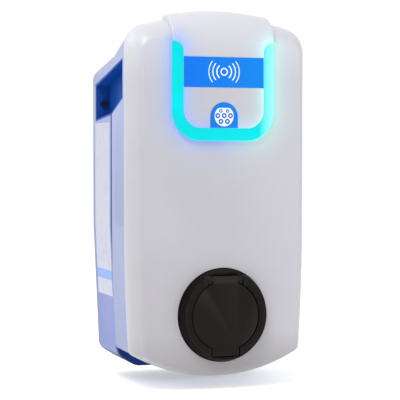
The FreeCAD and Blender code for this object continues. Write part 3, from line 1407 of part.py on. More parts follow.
def lid_seal():
    """Ring on the lid's back that closes on the floor round the plug well."""
    depth = d.drum_front - d.lid_thick - d.lid_floor - d.seal_clear
    foot = (0, -(d.lid_floor + d.seal_clear), -d.socket_drop)
    return cut("lid_seal_cut", rod("lid_seal_ring", foot, "-Y", d.lid_seal_outer, depth),
               rod("lid_seal_room", foot, "-Y", d.lid_seal_inner, depth))


def hinge_pin():
    return rod("hinge_pin", (-d.pin_half, -d.hinge_forward, d.hinge_rise - d.socket_drop), "+X",
               d.hinge_pin, d.pin_half * 2)


def lid_spring():
    """Closing spring wound round the hinge pin."""
    coil = d.hinge_pin.value + d.spring_wire.value + 0.35
    wire = d.spring_wire.value
    span = d.spring_half.value * 2 - wire * 2
    helix = Part.makeHelix(span / d.spring_turns.value, span, coil)
    start = Part.Wire(Part.makeCircle(wire, Vector(coil, 0, 0), Vector(0, 1, 0)))
    obj = doc.addObject("Part::Feature", "lid_spring_coil")
    obj.Shape = Part.Wire(helix).makePipeShell([start], True, True)
    obj.Placement = FreeCAD.Placement(Vector(), AIM["+X"])
    place(obj, wire - d.spring_half.value, -d.hinge_forward, d.hinge_rise - d.socket_drop)
    return obj


def lock_actuator():
    """Sealed motor unit whose pin drops into the top of the plug well."""
    low = d.actuator_low - d.socket_drop
    box = block("actuator_box", (-d.actuator_half, d.actuator_half),
                (-(d.lock_forward + d.actuator_half_depth - 1),
                 -(d.lock_forward - d.actuator_half_depth)), (low, low + d.actuator_high))
    soft = rounded("actuator_soft", box, 1.2, lambda edge: edge.Length > 5)
    bore = rod("actuator_bore", (0, -d.lock_forward, low), "+Z",
               d.lock_pin + d.lock_pin_clear, d.lock_pin_long - 1)
    return cut("lock_actuator_cut", soft, bore)


def plug_lock_pin():
    """Drawn back at rest, its tip level with the flat of the plug well."""
    pin = rod("lock_pin_shank", (0, -d.lock_forward, d.plug_flat + 0.4 - d.socket_drop), "+Z",
              d.lock_pin, d.lock_pin_long)
    doc.recompute()
    soft = doc.addObject("Part::Chamfer", "lock_pin_tip")
    soft.Base = pin
    soft.Edges = [(number, 0.5, 0.5) for number, edge in enumerate(pin.Shape.Edges, 1)
                  if edge.Closed]
    return soft


node("socket_housing", socket_housing())
node("contact_base", contact_base())
node("socket_core", socket_core())
node("socket_contacts", socket_contacts())
node("socket_gasket", socket_gasket())
node("socket_screws", screws("socket_screw", socket_screw_places(),
                             d.cover_rim + d.flange_thick, 2.6, d.board_screw, 9.0))
node("socket_lid", socket_lid())
node("lid_seal", lid_seal())
node("hinge_pin", hinge_pin())
node("lid_spring", lid_spring())
node("lock_actuator", lock_actuator())
node("plug_lock_pin", plug_lock_pin())


# ---------------------------------------------------------------- equipment inside
def rail():
    """Top-hat rail standing on two posts from the housing's back."""
    z, half, gauge = d.rail_high, d.rail_half, d.rail_gauge
    base = d.rail_front - d.rail_deep
    floor, lips = d.rail_base_width / 2, d.rail_width / 2
    pieces = [block("rail_floor", (-half, half), (-(base + gauge), -base), (z - floor, z + floor))]
    for name, sign in (("upper", 1), ("lower", -1)):
        low, high = sorted_pair(sign, floor - gauge, floor)
        pieces.append(block(f"rail_{name}_wall", (-half, half), (-d.rail_front, -base),
                            (z + low, z + high)))
        low, high = sorted_pair(sign, floor - gauge, lips)
        pieces.append(block(f"rail_{name}_lip", (-half, half),
                            (-d.rail_front, -(d.rail_front - gauge)), (z + low, z + high)))
    return joined("rail_profile", *pieces)


def rail_posts():
    back = d.back_gap + d.housing_wall
    return together("rail_post_set", [
        block(f"rail_post_{side}", (x - d.rail_post, x + d.rail_post),
              (-(d.rail_front - d.rail_deep), -back),
              (d.rail_high - d.rail_post_reach, d.rail_high + d.rail_post_reach))
        for side, x in sides(d.rail_post_side)])


def device(name, start, modules):
    """A rail device: shoulder, a narrower nose in front, and its width in modules."""
    x = (start + d.device_gap / 2, start + d.module * modules - d.device_gap / 2)
    shoulder = d.rail_front + d.device_deep
    body = block(f"{name}_shoulder", x, (-shoulder, -d.rail_front),
                 (d.rail_high - d.device_high / 2, d.rail_high + d.device_high / 2))
    nose = block(f"{name}_nose", x, (-(shoulder + d.nose_deep), -shoulder),
                 (d.rail_high - d.nose_high / 2, d.rail_high + d.nose_high / 2))
    return joined(f"{name}_whole", body, nose)


RAIL_START = -d.module * 5
NOSE_FRONT = d.rail_front + d.device_deep + d.nose_deep
LEVER_MIDDLE = RAIL_START + d.module * 1.5
BUTTON_MIDDLE = RAIL_START + d.module * 3.5
LEVER_PIVOT = NOSE_FRONT - d.lever_radius + 2


def breaker():
    """Combined breaker with a slot for its lever and a bore for its test button."""
    slot = block("breaker_slot", (LEVER_MIDDLE - d.lever_width / 2 - d.lever_clear,
                                  LEVER_MIDDLE + d.lever_width / 2 + d.lever_clear),
                 (-(NOSE_FRONT + 1), -(LEVER_PIVOT - d.lever_radius - d.lever_clear)),
                 (d.rail_high - d.lever_radius - 6, d.rail_high + d.lever_radius + 6))
    bore = rod("breaker_button_bore", (BUTTON_MIDDLE, -(NOSE_FRONT - d.button_long),
                                       d.rail_high), "-Y", d.button_radius + d.button_clear,
               d.button_long + 1)
    axle = [rod(f"breaker_axle_{side}", (x, -LEVER_PIVOT, d.rail_high), "+X", 1.2,
                d.lever_clear + 2.0)
            for side, x in (("left", LEVER_MIDDLE - d.lever_width / 2 - d.lever_clear),
                            ("right", LEVER_MIDDLE + d.lever_width / 2 - 2.0))]
    return joined("breaker_with_axle",
                  cut("breaker_cut", device("breaker", RAIL_START, 4), slot, bore), *axle)


def breaker_lever():
    """Lever drawn in its on position, pointing up and forward."""
    drum = rod("lever_drum", (LEVER_MIDDLE - d.lever_width / 2, -LEVER_PIVOT, d.rail_high),
               "+X", d.lever_radius, d.lever_width)
    handle = block("lever_handle", (LEVER_MIDDLE - d.lever_width / 2,
                                    LEVER_MIDDLE + d.lever_width / 2),
                   (-(LEVER_PIVOT + d.lever_radius + d.lever_long - 5), -LEVER_PIVOT),
                   (d.rail_high + 1, d.rail_high + d.lever_radius - 0.4))
    bore = rod("lever_bore", (LEVER_MIDDLE - d.lever_width / 2, -LEVER_PIVOT, d.rail_high),
               "+X", 1.2 + d.pin_clear, d.lever_width)
    return cut("breaker_lever_cut", joined("lever_whole", drum, handle), bore)


def test_button():
    return rod("test_button", (BUTTON_MIDDLE, -(NOSE_FRONT + d.button_rise - d.button_long
                                                + 2.6), d.rail_high),
               "-Y", d.button_radius, d.button_long - 2.6)


def controller_board():
    """Board with its relays, supply brick and connectors."""
    back = d.back_gap + d.housing_wall + d.post_long
    front = back + d.board_thick
    sheet_ = block("controller_sheet", (-d.board_half, d.board_half), (-front, -back),
                   (d.board_low, d.board_low + d.board_high))
    return cut("controller_board_cut", sheet_, *[
        rod(f"controller_hole_{number}", (x, -back, z), "-Y", d.board_screw + d.screw_clear,
            d.board_thick) for number, x, z in board_screw_places()])


def board_parts():
    """Relays, a supply brick, connectors and capacitors standing on the board."""
    front = d.back_gap + d.housing_wall + d.post_long + d.board_thick
    low = d.board_low
    made = [block("board_brick", (-62, -28), (-(front + 22), -front), (low + 16, low + 46)),
            block("board_processor", (-8, 10), (-(front + 2.4), -front), (low + 22, low + 40)),
            block("board_header", (-20, 40), (-(front + 9), -front), (low + 3, low + 11))]
    for number in range(2):
        x = 24 + 20 * number
        made.append(block(f"board_relay_{number}", (x, x + 16), (-(front + 16), -front),
                          (low + 20, low + 48)))
    for number in range(3):
        made.append(rod(f"board_capacitor_{number}", (-18, -front, low + 19 + 13 * number), "-Y",
                        4.5, 12))
    return together("board_part_set", made)


def board_screw_places():
    side = d.board_half - 5
    return [(f"{name}_{level}", x, z) for name, x in sides(side)
            for level, z in (("top", d.board_low + d.board_high - 5), ("low", d.board_low + 5))]


def board_posts():
    back = d.back_gap + d.housing_wall
    made = []
    for number, x, z in board_screw_places():
        post = rod(f"board_post_{number}", (x, -back, z), "-Y", d.post_radius, d.post_long)
        hole = rod(f"board_post_hole_{number}", (x, -(back + 4), z), "-Y",
                   d.board_screw + d.screw_clear, d.post_long)
        made.append(cut(f"board_post_cut_{number}", post, hole))
    return together("board_post_set", made)


def supply_terminals():
    """Five clamps for the supply on the housing's back."""
    back = d.back_gap + d.housing_wall
    body = block("terminal_block", (-d.terminal_half, d.terminal_half),
                 (-(back + d.terminal_deep), -back),
                 (-d.terminal_low, d.terminal_high - d.terminal_low))
    holes = [rod(f"terminal_entry_{number}", (x, -wire_forward(), -d.terminal_low), "+Z",
                 d.wire_radius + d.wire_clear, 12) for number, x in clamp_places()]
    exits = [rod(f"terminal_exit_{number}", (x, -wire_forward(),
                                             d.terminal_high - d.terminal_low), "-Z",
                 d.wire_radius + d.wire_clear, 8) for number, x in clamp_places()]
    tops = [rod(f"terminal_screw_room_{number}", (x, -(back + d.terminal_deep), z), "+Y",
                 d.clamp_head + 0.2, d.clamp_sunk)
            for number, x, z in clamp_screw_places()]
    tops += [rod(f"terminal_screw_hole_{number}",
                 (x, -(back + d.terminal_deep - d.clamp_sunk), z), "+Y",
                 d.clamp_shank + d.screw_clear, d.clamp_screw_long)
             for number, x, z in clamp_screw_places()]
    return cut("supply_terminals_cut", body, *holes, *exits, *tops)


def clamp_places():
    return [(number, d.clamp_pitch * (number - 2)) for number in range(5)]


def wire_forward():
    return d.back_gap + d.housing_wall + d.terminal_deep / 2


def clamp_screw_places():
    z = d.terminal_high / 2 - d.terminal_low
    return [(f"{number}", x, z) for number, x in clamp_places()]


def clamp_screws():
    return screws("clamp_screw", clamp_screw_places(),
                  d.back_gap + d.housing_wall + d.terminal_deep - d.clamp_sunk, d.clamp_head,
                  d.clamp_shank, d.clamp_screw_long)


def earth_screw_places():
    return [(f"{number}", d.earth_side - 24 + 10 * number, d.earth_thick / 2 - d.earth_low)
            for number in range(5)]


def earth_bar():
    """Brass bar on the housing's back with a hole for each screw."""
    back = d.back_gap + d.housing_wall
    bar = block("earth_bar_block", (d.earth_side - 30, d.earth_side + 22),
                (-(back + d.earth_thick), -back), (-d.earth_low, d.earth_thick - d.earth_low))
    return cut("earth_bar_cut", bar, *[
        rod(f"earth_hole_{number}", (x, -(back + d.earth_thick), z), "+Y",
            d.earth_shank + d.screw_clear, d.earth_thick) for number, x, z in earth_screw_places()])


def earth_screws():
    return screws("earth_screw", earth_screw_places(),
                  d.back_gap + d.housing_wall + d.earth_thick, 3.0, d.earth_shank,
                  d.earth_thick - 1)


def touch_guard():
    """Inner cover behind the service window with an opening for the noses."""
    low, high = -d.window_low - d.guard_margin, d.window_top + d.guard_margin
    half = d.window_half + d.guard_margin
    front = d.cover_rim - d.web_thick
    plate = block("guard_plate", (-half, half), (-front, -(front - d.guard_thick)), (low, high))
    opening = block("guard_opening", (RAIL_START + 1, -RAIL_START - 1), (-front - 1,
                    -(front - d.guard_thick - 1)), (d.rail_high - 20, d.rail_high + 20))
    corners = [block(f"guard_corner_{side}", sorted_pair(sign, half - 22, half + 1),
                     (-front - 1, -(front - d.guard_thick - 1)), (z_low, z_high))
               for side, sign in (("right", 1), ("left", -1))
               for z_low, z_high in ((d.pocket_rear_low - 6, high + 1),
                                     (low - 1, -d.knee + 34))]
    holes = [rod(f"guard_hole_{number}", (x, -(front - d.guard_thick), z), "-Y",
                 d.board_screw + d.screw_clear, d.guard_thick)
             for number, x, z in guard_screw_places()]
    return cut("touch_guard_cut", plate, opening, *corners, *holes)


# ---------------------------------------------------------------- entries in the floor
def gland_body():
    """Threaded gland body: hexagon collar under the floor, sleeve through it."""
    foot = (d.gland_side, -d.gland_forward, -d.rear_low)
    collar = hexagon("gland_collar", foot, "-Z", d.gland_flat, d.gland_collar)
    sleeve = rod("gland_sleeve", (d.gland_side, -d.gland_forward,
                                  -d.rear_low - d.gland_collar - 9), "+Z", d.gland_thread,
                 d.gland_collar + 9 + d.housing_wall + 9)
    bore = rod("gland_bore_cut", (d.gland_side, -d.gland_forward, -d.rear_low - 40), "+Z",
               d.gland_bore + 2.0, 80)
    return cut("gland_body_cut", joined("gland_whole", collar, sleeve), bore)


def gland_locknut():
    foot = (d.gland_side, -d.gland_forward, d.housing_wall - d.rear_low)
    nut = hexagon("locknut_hexagon", foot, "+Z", d.gland_flat, 5.0)
    return cut("gland_locknut_cut", nut, rod("locknut_bore", foot, "+Z",
                                             d.gland_thread + d.screw_clear, 5.0))


def gland_nut():
    """Clamping nut over the sleeve's lower end."""
    low = -d.rear_low - d.gland_collar - d.gland_nut_high
    foot = (d.gland_side, -d.gland_forward, low)
    nut = hexagon("gland_nut_hexagon", foot, "+Z", d.gland_flat - 0.5, d.gland_nut_high)
    room = rod("gland_nut_room", (d.gland_side, -d.gland_forward, low + 2.5), "+Z",
               d.gland_thread + d.screw_clear, d.gland_nut_high)
    mouth = rod("gland_nut_mouth", foot, "+Z", d.gland_bore + 0.6, d.gland_nut_high)
    return cut("gland_nut_cut", nut, room, mouth)


def gland_seal():
    """Rubber sleeve that grips the supply cable."""
    low = -d.rear_low - d.gland_collar - d.gland_nut_high + 2.5
    foot = (d.gland_side, -d.gland_forward, low)
    return cut("gland_seal_cut", rod("gland_seal_ring", foot, "+Z", d.gland_bore + 1.9, 14.0),
               rod("gland_seal_bore", foot, "+Z", d.gland_bore, 14.0))


def blanking_plug():
    """Plug in the spare entry."""
    foot = (-d.blank_side, -d.gland_forward, -d.rear_low)
    return joined("blanking_plug_whole",
                  rod("blank_head", foot, "-Z", d.blank_radius + 2.5, 2.5),
                  rod("blank_stem", foot, "+Z", d.blank_radius, d.housing_wall + 4),
                  rod("blank_bead", (-d.blank_side, -d.gland_forward,
                                     d.housing_wall - d.rear_low), "+Z",
                      d.blank_radius + 1.0, 2.0))


def wire(name, points):
    """One insulated wire along a smooth route."""
    route = Part.BSplineCurve()
    route.interpolate([Vector(size_of(x).value, -size_of(forward).value, size_of(z).value)
                       for x, forward, z in points])
    path = Part.Wire(route.toShape())
    start = route.value(route.FirstParameter)
    end = Part.Wire(Part.makeCircle(d.wire_radius.value, start,
                                    route.tangent(route.FirstParameter)[0]))
    obj = doc.addObject("Part::Feature", name)
    obj.Shape = path.makePipeShell([end], True, True)
    return obj


def supply_wires():
    """From the supply terminals up behind the rail, to the breaker's upper clamps."""
    made = []
    for number, x in clamp_places():
        if number == 4:
            continue
        top = RAIL_START + d.module * (number + 0.5)
        rail_top = d.rail_high + d.device_high / 2
        made.append(wire(f"supply_wire_{number}", [
            (x, wire_forward(), d.terminal_high - d.terminal_low - 6),
            (x, wire_forward(), d.terminal_high - d.terminal_low + 6),
            ((x + top) / 2, wire_forward() + 2, d.rail_high - 30),
            (top, wire_forward() + 4, d.rail_high + 20),
            (top, wire_forward() + 12, rail_top + 3),
            (top, d.rail_front + 18, rail_top + 7),
            (top, d.rail_front + 26, rail_top + 3),
            (top, d.rail_front + 27, rail_top + 0.3)]))
    return together("supply_wire_set", made)


def outlet_wires():
    """From under the contactor down to the socket's contact tails."""
    made = []
    rail_low = d.rail_high - d.device_high / 2
    tail = d.cover_rim - d.contact_tail
    names = ("low_left", "side_left", "side_right", "low_right")
    places = {name: (x, z) for name, x, z, _, _ in contact_places()}
    for number, name in enumerate(names):
        x, z = places[name]
        top = RAIL_START + d.module * (4.5 + number)
        fan = (number - 1.5) * 12
        made.append(wire(f"outlet_wire_{name}", [
            (top, d.rail_front + 27, rail_low - 0.3),
            (top, d.rail_front + 27, rail_low - 12),
            (top * 0.6 + x * 0.4 + fan, d.rail_front + 26, rail_low - 60),
            (x + fan, tail - 40, z + 22),
            (x + fan * 0.3, tail - 22, z + 4),
            (x, tail - 8, z),
            (x, tail - 0.3, z)]))
    return together("outlet_wire_set", made)


def rating_label():
    """Label on the left side of the housing, following its bend at the knee."""
    outer = new_body("label_outer")
    pad(outer, rear_outline(new_sketch(outer, "label_outer_outline", d.label_rear),
                            -d.print_thick),
        d.label_front - d.label_rear, "label_outer_pad")
    inner = new_body("label_inner")
    pad(inner, rear_outline(new_sketch(inner, "label_inner_outline", 0), size_of(0)),
        d.housing_depth, "label_inner_pad")
    region = block("label_region", (-d.half_width - 5, 0), (-d.label_front, -d.label_rear),
                   (-d.label_low, d.label_top))
    film = cut("label_film", outer, inner)
    label = doc.addObject("Part::Common", "rating_label_common")
    label.Base, label.Tool = film, region
    return label


node("mounting_rail", rail())
node("rail_posts", rail_posts())
node("breaker_body", breaker())
node("breaker_lever", breaker_lever())
node("test_button", test_button())
node("contactor", device("contactor", RAIL_START + d.module * 4, 2))
node("energy_meter", device("meter", RAIL_START + d.module * 6, 2))
node("power_supply", device("supply", RAIL_START + d.module * 8, 2))
node("controller_board", controller_board())
node("board_components", board_parts())
node("board_posts", board_posts())
node("board_screws", screws("board_screw", board_screw_places(), d.back_gap + d.housing_wall
                            + d.post_long + d.board_thick, 2.6, d.board_screw, 9.0))
node("supply_terminals", supply_terminals())
node("clamp_screws", clamp_screws())
node("earth_bar", earth_bar())
node("earth_screws", earth_screws())
node("touch_guard", touch_guard())
node("guard_screws", screws("guard_screw", guard_screw_places(), d.cover_rim, 2.6,
                            d.board_screw, d.web_thick + d.guard_thick + 1))
node("frame_screws", screws("frame_screw", frame_screw_places(),
                            d.housing_depth + d.seam_depth + 8, 2.6, d.board_screw, 22.0))
node("gland_body", gland_body())
node("gland_locknut", gland_locknut())
node("gland_nut", gland_nut())
node("gland_seal", gland_seal())
node("blanking_plug", blanking_plug())
node("supply_wires", supply_wires())
node("outlet_wires", outlet_wires())
node("rating_label", rating_label())


# ---------------------------------------------------------------- check and write
doc.recompute()
for obj in doc.Objects:
    if "Invalid" in obj.State or "Error" in obj.State:
        raise ValueError(f"{obj.Name} failed: {obj.State}")
for piece in NODES:
    if piece.Shape.isNull() or not piece.Shape.isValid() or not piece.Shape.Solids:
        raise ValueError(f"{piece.Label} has no valid solid")
    piece.Shape.exportStep(f"parts/{piece.Label}.step")
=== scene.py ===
import json
import math

import bmesh
import bpy
from mathutils import Matrix, Vector


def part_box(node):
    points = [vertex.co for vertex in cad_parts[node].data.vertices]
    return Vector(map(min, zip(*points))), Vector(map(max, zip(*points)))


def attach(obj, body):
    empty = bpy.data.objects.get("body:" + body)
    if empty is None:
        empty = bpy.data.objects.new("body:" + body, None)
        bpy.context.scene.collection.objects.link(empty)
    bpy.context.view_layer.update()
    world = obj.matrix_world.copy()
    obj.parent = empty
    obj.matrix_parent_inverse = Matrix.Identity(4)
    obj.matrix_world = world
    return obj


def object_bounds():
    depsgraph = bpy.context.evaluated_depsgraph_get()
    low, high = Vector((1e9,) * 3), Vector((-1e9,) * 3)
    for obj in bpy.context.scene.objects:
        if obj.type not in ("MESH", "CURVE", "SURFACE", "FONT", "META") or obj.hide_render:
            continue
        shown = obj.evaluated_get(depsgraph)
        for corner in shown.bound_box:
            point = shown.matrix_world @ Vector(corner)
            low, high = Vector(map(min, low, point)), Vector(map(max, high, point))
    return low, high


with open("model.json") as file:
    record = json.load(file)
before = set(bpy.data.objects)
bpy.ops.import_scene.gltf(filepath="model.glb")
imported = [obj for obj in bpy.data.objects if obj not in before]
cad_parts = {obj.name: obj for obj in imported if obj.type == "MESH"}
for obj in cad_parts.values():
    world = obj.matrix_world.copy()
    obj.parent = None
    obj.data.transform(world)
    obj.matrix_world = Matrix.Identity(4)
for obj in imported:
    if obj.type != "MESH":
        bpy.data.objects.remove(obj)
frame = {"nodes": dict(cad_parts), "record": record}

cad_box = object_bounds()
nodes = frame["nodes"]


# ---------------------------------------------------------------- named values
BLUNT, SHARP = 0.505, 0.56             # pointiness where an edge starts and ends being worn
SHADE_LOW, SHADE_HIGH = -0.19, 0.14      # heights between which a moulding is painted darker towards the bottom, as painted shade
UNDERSIDE_SHADE = -0.1985                    # height below which the rear housing's underside is painted dark blue, as painted shade
GUIDE_HALF = 0.0065                    # half width of the light guide's arms
GUIDE_BAR_HALF = 0.00725               # half height of the light guide's lower bar
GUIDE_CORNER = 0.0285                  # radius of the line that the guide follows in its corners
OVER_ARMS = 1.3                        # how much faster the halo fades above the arms' tops
NATURAL = 2.718                        # base of the halo's fall
TIGHT_REACH, WIDE_REACH = 0.0045, 0.012
# strengths of the painted halo round the guide: tight glow, wide glow, and its painted tint in the
# cover's base colour
TIGHT_LIGHT, WIDE_LIGHT, HALO_TINT_SHARE = 0.15, 0.22, 0.55
FRAME_PITCH, FRAME_LINE = 0.043, 0.022  # label frames: height of one, line as a share of it
LABEL_MIDDLE, LABEL_LINE = 0.049, 0.0005
LABEL_PRINT = (-0.076, -0.022)         # from front to rear, where the small marks lie
LABEL_BAR = (-0.108, -0.096)           # from bottom to top, the blue bar
# strength of a painted glow on the printed films, which are no lamps
FILM_PAINTED_GLOW = 0.10
TRACKS, TRACK_STEPS = 420.0, 6.0       # circuit tracks for each metre, and their jogs
INK_GAP = 0.00002                      # printed pieces in front of the film they lie on


# ---------------------------------------------------------------- node material helper
class Paint:
    """A Principled material built from procedural nodes in the object's own metres."""

    def __init__(self, name, roughness=0.45, metallic=0.0):
        self.mat = bpy.data.materials.new(name)
        self.mat.use_nodes = True
        self.tree = self.mat.node_tree
        self.tree.nodes.clear()
        out = self.add("ShaderNodeOutputMaterial")
        self.bsdf = self.add("ShaderNodeBsdfPrincipled")
        self.tree.links.new(self.bsdf.outputs[0], out.inputs[0])
        self.bsdf.inputs["Metallic"].default_value = metallic
        self.bsdf.inputs["Roughness"].default_value = roughness
        self.place = self.add("ShaderNodeTexCoord").outputs["Object"]

    def add(self, kind, **settings):
        node = self.tree.nodes.new(kind)
        for key, value in settings.items():
            setattr(node, key, value)
        return node

    def plug(self, socket, value):
        if isinstance(value, bpy.types.NodeSocket):
            self.tree.links.new(value, socket)
        else:
            socket.default_value = value

    def into(self, name, value):
        self.plug(self.bsdf.inputs[name], value)

    def math(self, kind, *values, clamp=False):
        node = self.add("ShaderNodeMath", operation=kind, use_clamp=clamp)
        for socket, value in zip(node.inputs, values):
            self.plug(socket, value)
        return node.outputs[0]

    def axes(self):
        split = self.add("ShaderNodeSeparateXYZ")
        self.plug(split.inputs[0], self.place)
        return split.outputs

    def stretched(self, x, y, z):
        mapping = self.add("ShaderNodeMapping")
        self.plug(mapping.inputs["Vector"], self.place)
        mapping.inputs["Scale"].default_value = (x, y, z)
        return mapping.outputs[0]

    def noise(self, scale, detail=3.0, vector=None):
        node = self.add("ShaderNodeTexNoise")
        self.plug(node.inputs["Vector"], vector or self.place)
        node.inputs["Scale"].default_value = scale
        node.inputs["Detail"].default_value = detail
        return node.outputs["Fac"]

    def cells(self, scale, output="Distance"):
        node = self.add("ShaderNodeTexVoronoi")
        self.plug(node.inputs["Vector"], self.place)
        node.inputs["Scale"].default_value = scale
        return node.outputs[output]

    def spread(self, value, low, high, to_low=0.0, to_high=1.0):
        node = self.add("ShaderNodeMapRange")
        self.plug(node.inputs["Value"], value)
        for name, number in (("From Min", low), ("From Max", high), ("To Min", to_low),
                             ("To Max", to_high)):
            node.inputs[name].default_value = number
        return node.outputs[0]

    def blend(self, factor, first, second):
        node = self.add("ShaderNodeMix", data_type="RGBA")
        self.plug(node.inputs[0], factor)
        for socket, value in zip((node.inputs[6], node.inputs[7]), (first, second)):
            self.plug(socket, (*value, 1.0) if isinstance(value, tuple) else value)
        return node.outputs[2]

    def edges(self):
        """High on worn outer edges, from the mesh's pointiness."""
        point = self.add("ShaderNodeNewGeometry").outputs["Pointiness"]
        return self.spread(point, BLUNT, SHARP)

    def bumps(self, *layers):
        """Layers of (height, strength, depth in metres)."""
        last = None
        for height, strength, depth in layers:
            node = self.add("ShaderNodeBump")
            self.plug(node.inputs["Height"], height)
            node.inputs["Strength"].default_value = strength
            node.inputs["Distance"].default_value = depth
            if last:
                self.plug(node.inputs["Normal"], last)
            last = node.outputs[0]
        self.into("Normal", last)


def moulded(name, colour, roughness=0.45, grain=1500.0, depth=0.00004, worn=0.06, coat=0.0,
            shine=0.5, low_shade_colour=None):
    """Injection-moulded plastic: spark-eroded grain, faint flow shading, rubbed edges.

    Where a low shade colour is given, the colour is painted darker towards it at the bottom of the
    object, as painted shade.
    """
    p = Paint(name, roughness)
    cloud = p.noise(14.0, 4.0)
    tone = colour
    # painted shade: the tone is darkened towards the bottom of the object
    if low_shade_colour:
        tone = p.blend(p.spread(p.axes()[2], SHADE_LOW, SHADE_HIGH), low_shade_colour, colour)
    patches = p.blend(0.06, tone, (0.0, 0.0, 0.0))
    base = p.blend(p.spread(cloud, 0.35, 0.65), patches, tone)
    light = tuple(min(1.0, c * 1.25 + 0.03) for c in colour)
    rub = p.math("MULTIPLY", p.edges(), worn * 4, clamp=True)
    p.into("Base Color", p.blend(rub, base, light))
    fine = p.noise(grain, 2.0)
    rough = p.math("ADD", p.spread(fine, 0.3, 0.7, -0.05, 0.05),
                   p.spread(cloud, 0.3, 0.7, roughness - 0.04, roughness + 0.04))
    p.into("Roughness", rough)
    p.bsdf.inputs["Coat Weight"].default_value = coat
    p.bsdf.inputs["Coat Roughness"].default_value = 0.25
    p.bsdf.inputs["Specular IOR Level"].default_value = shine
    p.bumps((fine, 0.35, depth), (cloud, 0.15, 0.0002))
    return p


def housing():
    """Lilac plastic of the rear housing, darker towards the bottom and dark blue on its bevelled
    underside, both painted shade.
    """
    p = moulded("housing_lilac", (0.25, 0.285, 0.47), 0.5, 1300.0, 0.00006,
                low_shade_colour=(0.07, 0.125, 0.39))
    shaded_base = p.bsdf.inputs["Base Color"].links[0].from_socket
    # painted shade: the bevelled, downward-facing underside is painted dark blue
    under = p.spread(p.axes()[2], UNDERSIDE_SHADE, UNDERSIDE_SHADE - 0.0015)
    p.into("Base Color", p.blend(under, shaded_base, (0.003, 0.018, 0.09)))
    return p.mat


def guide_distance(p):
    """Distance in metres from the line that the U-shaped light guide follows."""
    lo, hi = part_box("light_guide")
    x, _, z = p.axes()
    half = (hi.x - lo.x) / 2 - GUIDE_HALF
    across = p.math("SUBTRACT", p.math("ABSOLUTE", x), half - GUIDE_CORNER)
    down = p.math("SUBTRACT", lo.z + GUIDE_BAR_HALF + GUIDE_CORNER, z)
    out = p.math("SQRT", p.math(
        "ADD", p.math("POWER", p.math("MAXIMUM", across, 0.0), 2.0),
        p.math("POWER", p.math("MAXIMUM", down, 0.0), 2.0)))
    inner = p.math("MINIMUM", p.math("MAXIMUM", across, down), 0.0)
    edge = p.math("SUBTRACT", p.math("ADD", out, inner), GUIDE_CORNER)
    near = p.math("SUBTRACT", p.math("ABSOLUTE", edge), GUIDE_HALF)
    over = p.math("MAXIMUM", p.math("SUBTRACT", z, hi.z), 0.0)
    return p.math("MAXIMUM", p.math("ADD", near, p.math("MULTIPLY", over, OVER_ARMS)), 0.0)


def shell():
    """Satin white cover, painted lighter right and top and darker low; a painted halo of glow and
    tint round the lit guide.
    """
    p = moulded("shell_white", (0.425, 0.42, 0.455), 0.36, 1700.0, 0.00003, 0.03, 0.08,
                low_shade_colour=(0.385, 0.375, 0.40))
    x, y, z = p.axes()
    near = guide_distance(p)
    tight = p.math("POWER", NATURAL, p.math("MULTIPLY", near, -1 / TIGHT_REACH))
    wide = p.math("POWER", NATURAL, p.math("MULTIPLY", near, -1 / WIDE_REACH))
    halo = p.math("ADD", p.math("MULTIPLY", tight, TIGHT_LIGHT),
                  p.math("MULTIPLY", wide, WIDE_LIGHT))
    front = p.spread(y, -0.176, -0.184)
    side = p.spread(x, -0.01, 0.055)
    # painted glow: the cover is no lamp; this emission stands in for the guide's light in its thin
    # wall
    p.into("Emission Color", p.blend(side, (0.0, 0.10, 1.0), (0.10, 0.95, 0.75)))
    p.into("Emission Strength", p.math("MULTIPLY", halo, front))
    # painted light: near the guide the base colour takes the halo's tint
    glowing = p.math("MULTIPLY", p.math("MULTIPLY", wide, front), HALO_TINT_SHARE)
    shaded_base = p.bsdf.inputs["Base Color"].links[0].from_socket
    # painted light and shade: lighter towards the right and the top, darker towards the bottom
    shaded_base = p.blend(p.spread(x, 0.0, 0.11), shaded_base, (0.47, 0.46, 0.50))
    shaded_base = p.blend(p.spread(z, 0.14, 0.205), shaded_base, (0.54, 0.54, 0.585))
    shaded_base = p.blend(p.spread(z, -0.165, -0.222), shaded_base, (0.27, 0.26, 0.265))
    halo_tint = p.blend(side, (0.20, 0.33, 0.56), (0.44, 0.58, 0.58))
    p.into("Base Color", p.blend(glowing, shaded_base, halo_tint))
    return p.mat


def lit_guide():
    """Milky guide lit from behind, paler towards its right arm."""
    p = Paint("lit_guide", 0.3)
    x, _, z = p.axes()
    band = p.noise(30.0, 2.0)
    side = p.spread(x, 0.045, 0.066)
    p.into("Base Color", p.blend(side, (0.0, 0.10, 0.10), (0.22, 0.45, 0.42)))
    p.into("Emission Color", p.blend(side, (0.0, 0.71, 0.74), (0.21, 0.58, 0.51)))
    fade = p.spread(z, 0.06, 0.19, 1.0, 0.92)
    p.into("Emission Strength", p.math("MULTIPLY", fade, p.spread(band, 0.3, 0.7, 0.94, 1.05)))
    p.into("Roughness", p.spread(p.noise(300.0), 0.3, 0.7, 0.26, 0.36))
    p.bumps((p.cells(420.0), 0.08, 0.0001))
    p.bsdf.inputs["Specular IOR Level"].default_value = 0.1
    return p.mat


def film(name, left, right):
    """Gloss printed film with a soft change of tone across it, a fine dot screen and a faint
    painted glow of its tone.
    """
    p = Paint(name, 0.28)
    x, _, _ = p.axes()
    dots = p.cells(1900.0)
    tone = p.blend(p.spread(x, -0.05, 0.05), left, right)
    p.into("Base Color", p.blend(p.spread(dots, 0.2, 0.7, 0.0, 0.10), tone,
                                 tuple(min(1.0, c + 0.12) for c in left)))
    # painted glow: the film is no lamp
    p.into("Emission Color", tone)
    p.bsdf.inputs["Emission Strength"].default_value = FILM_PAINTED_GLOW
    p.bsdf.inputs["Specular IOR Level"].default_value = 0.06
    p.into("Roughness", p.spread(p.noise(90.0), 0.3, 0.7, 0.24, 0.36))
    p.bumps((p.noise(160.0), 0.06, 0.0002))
    return p.mat


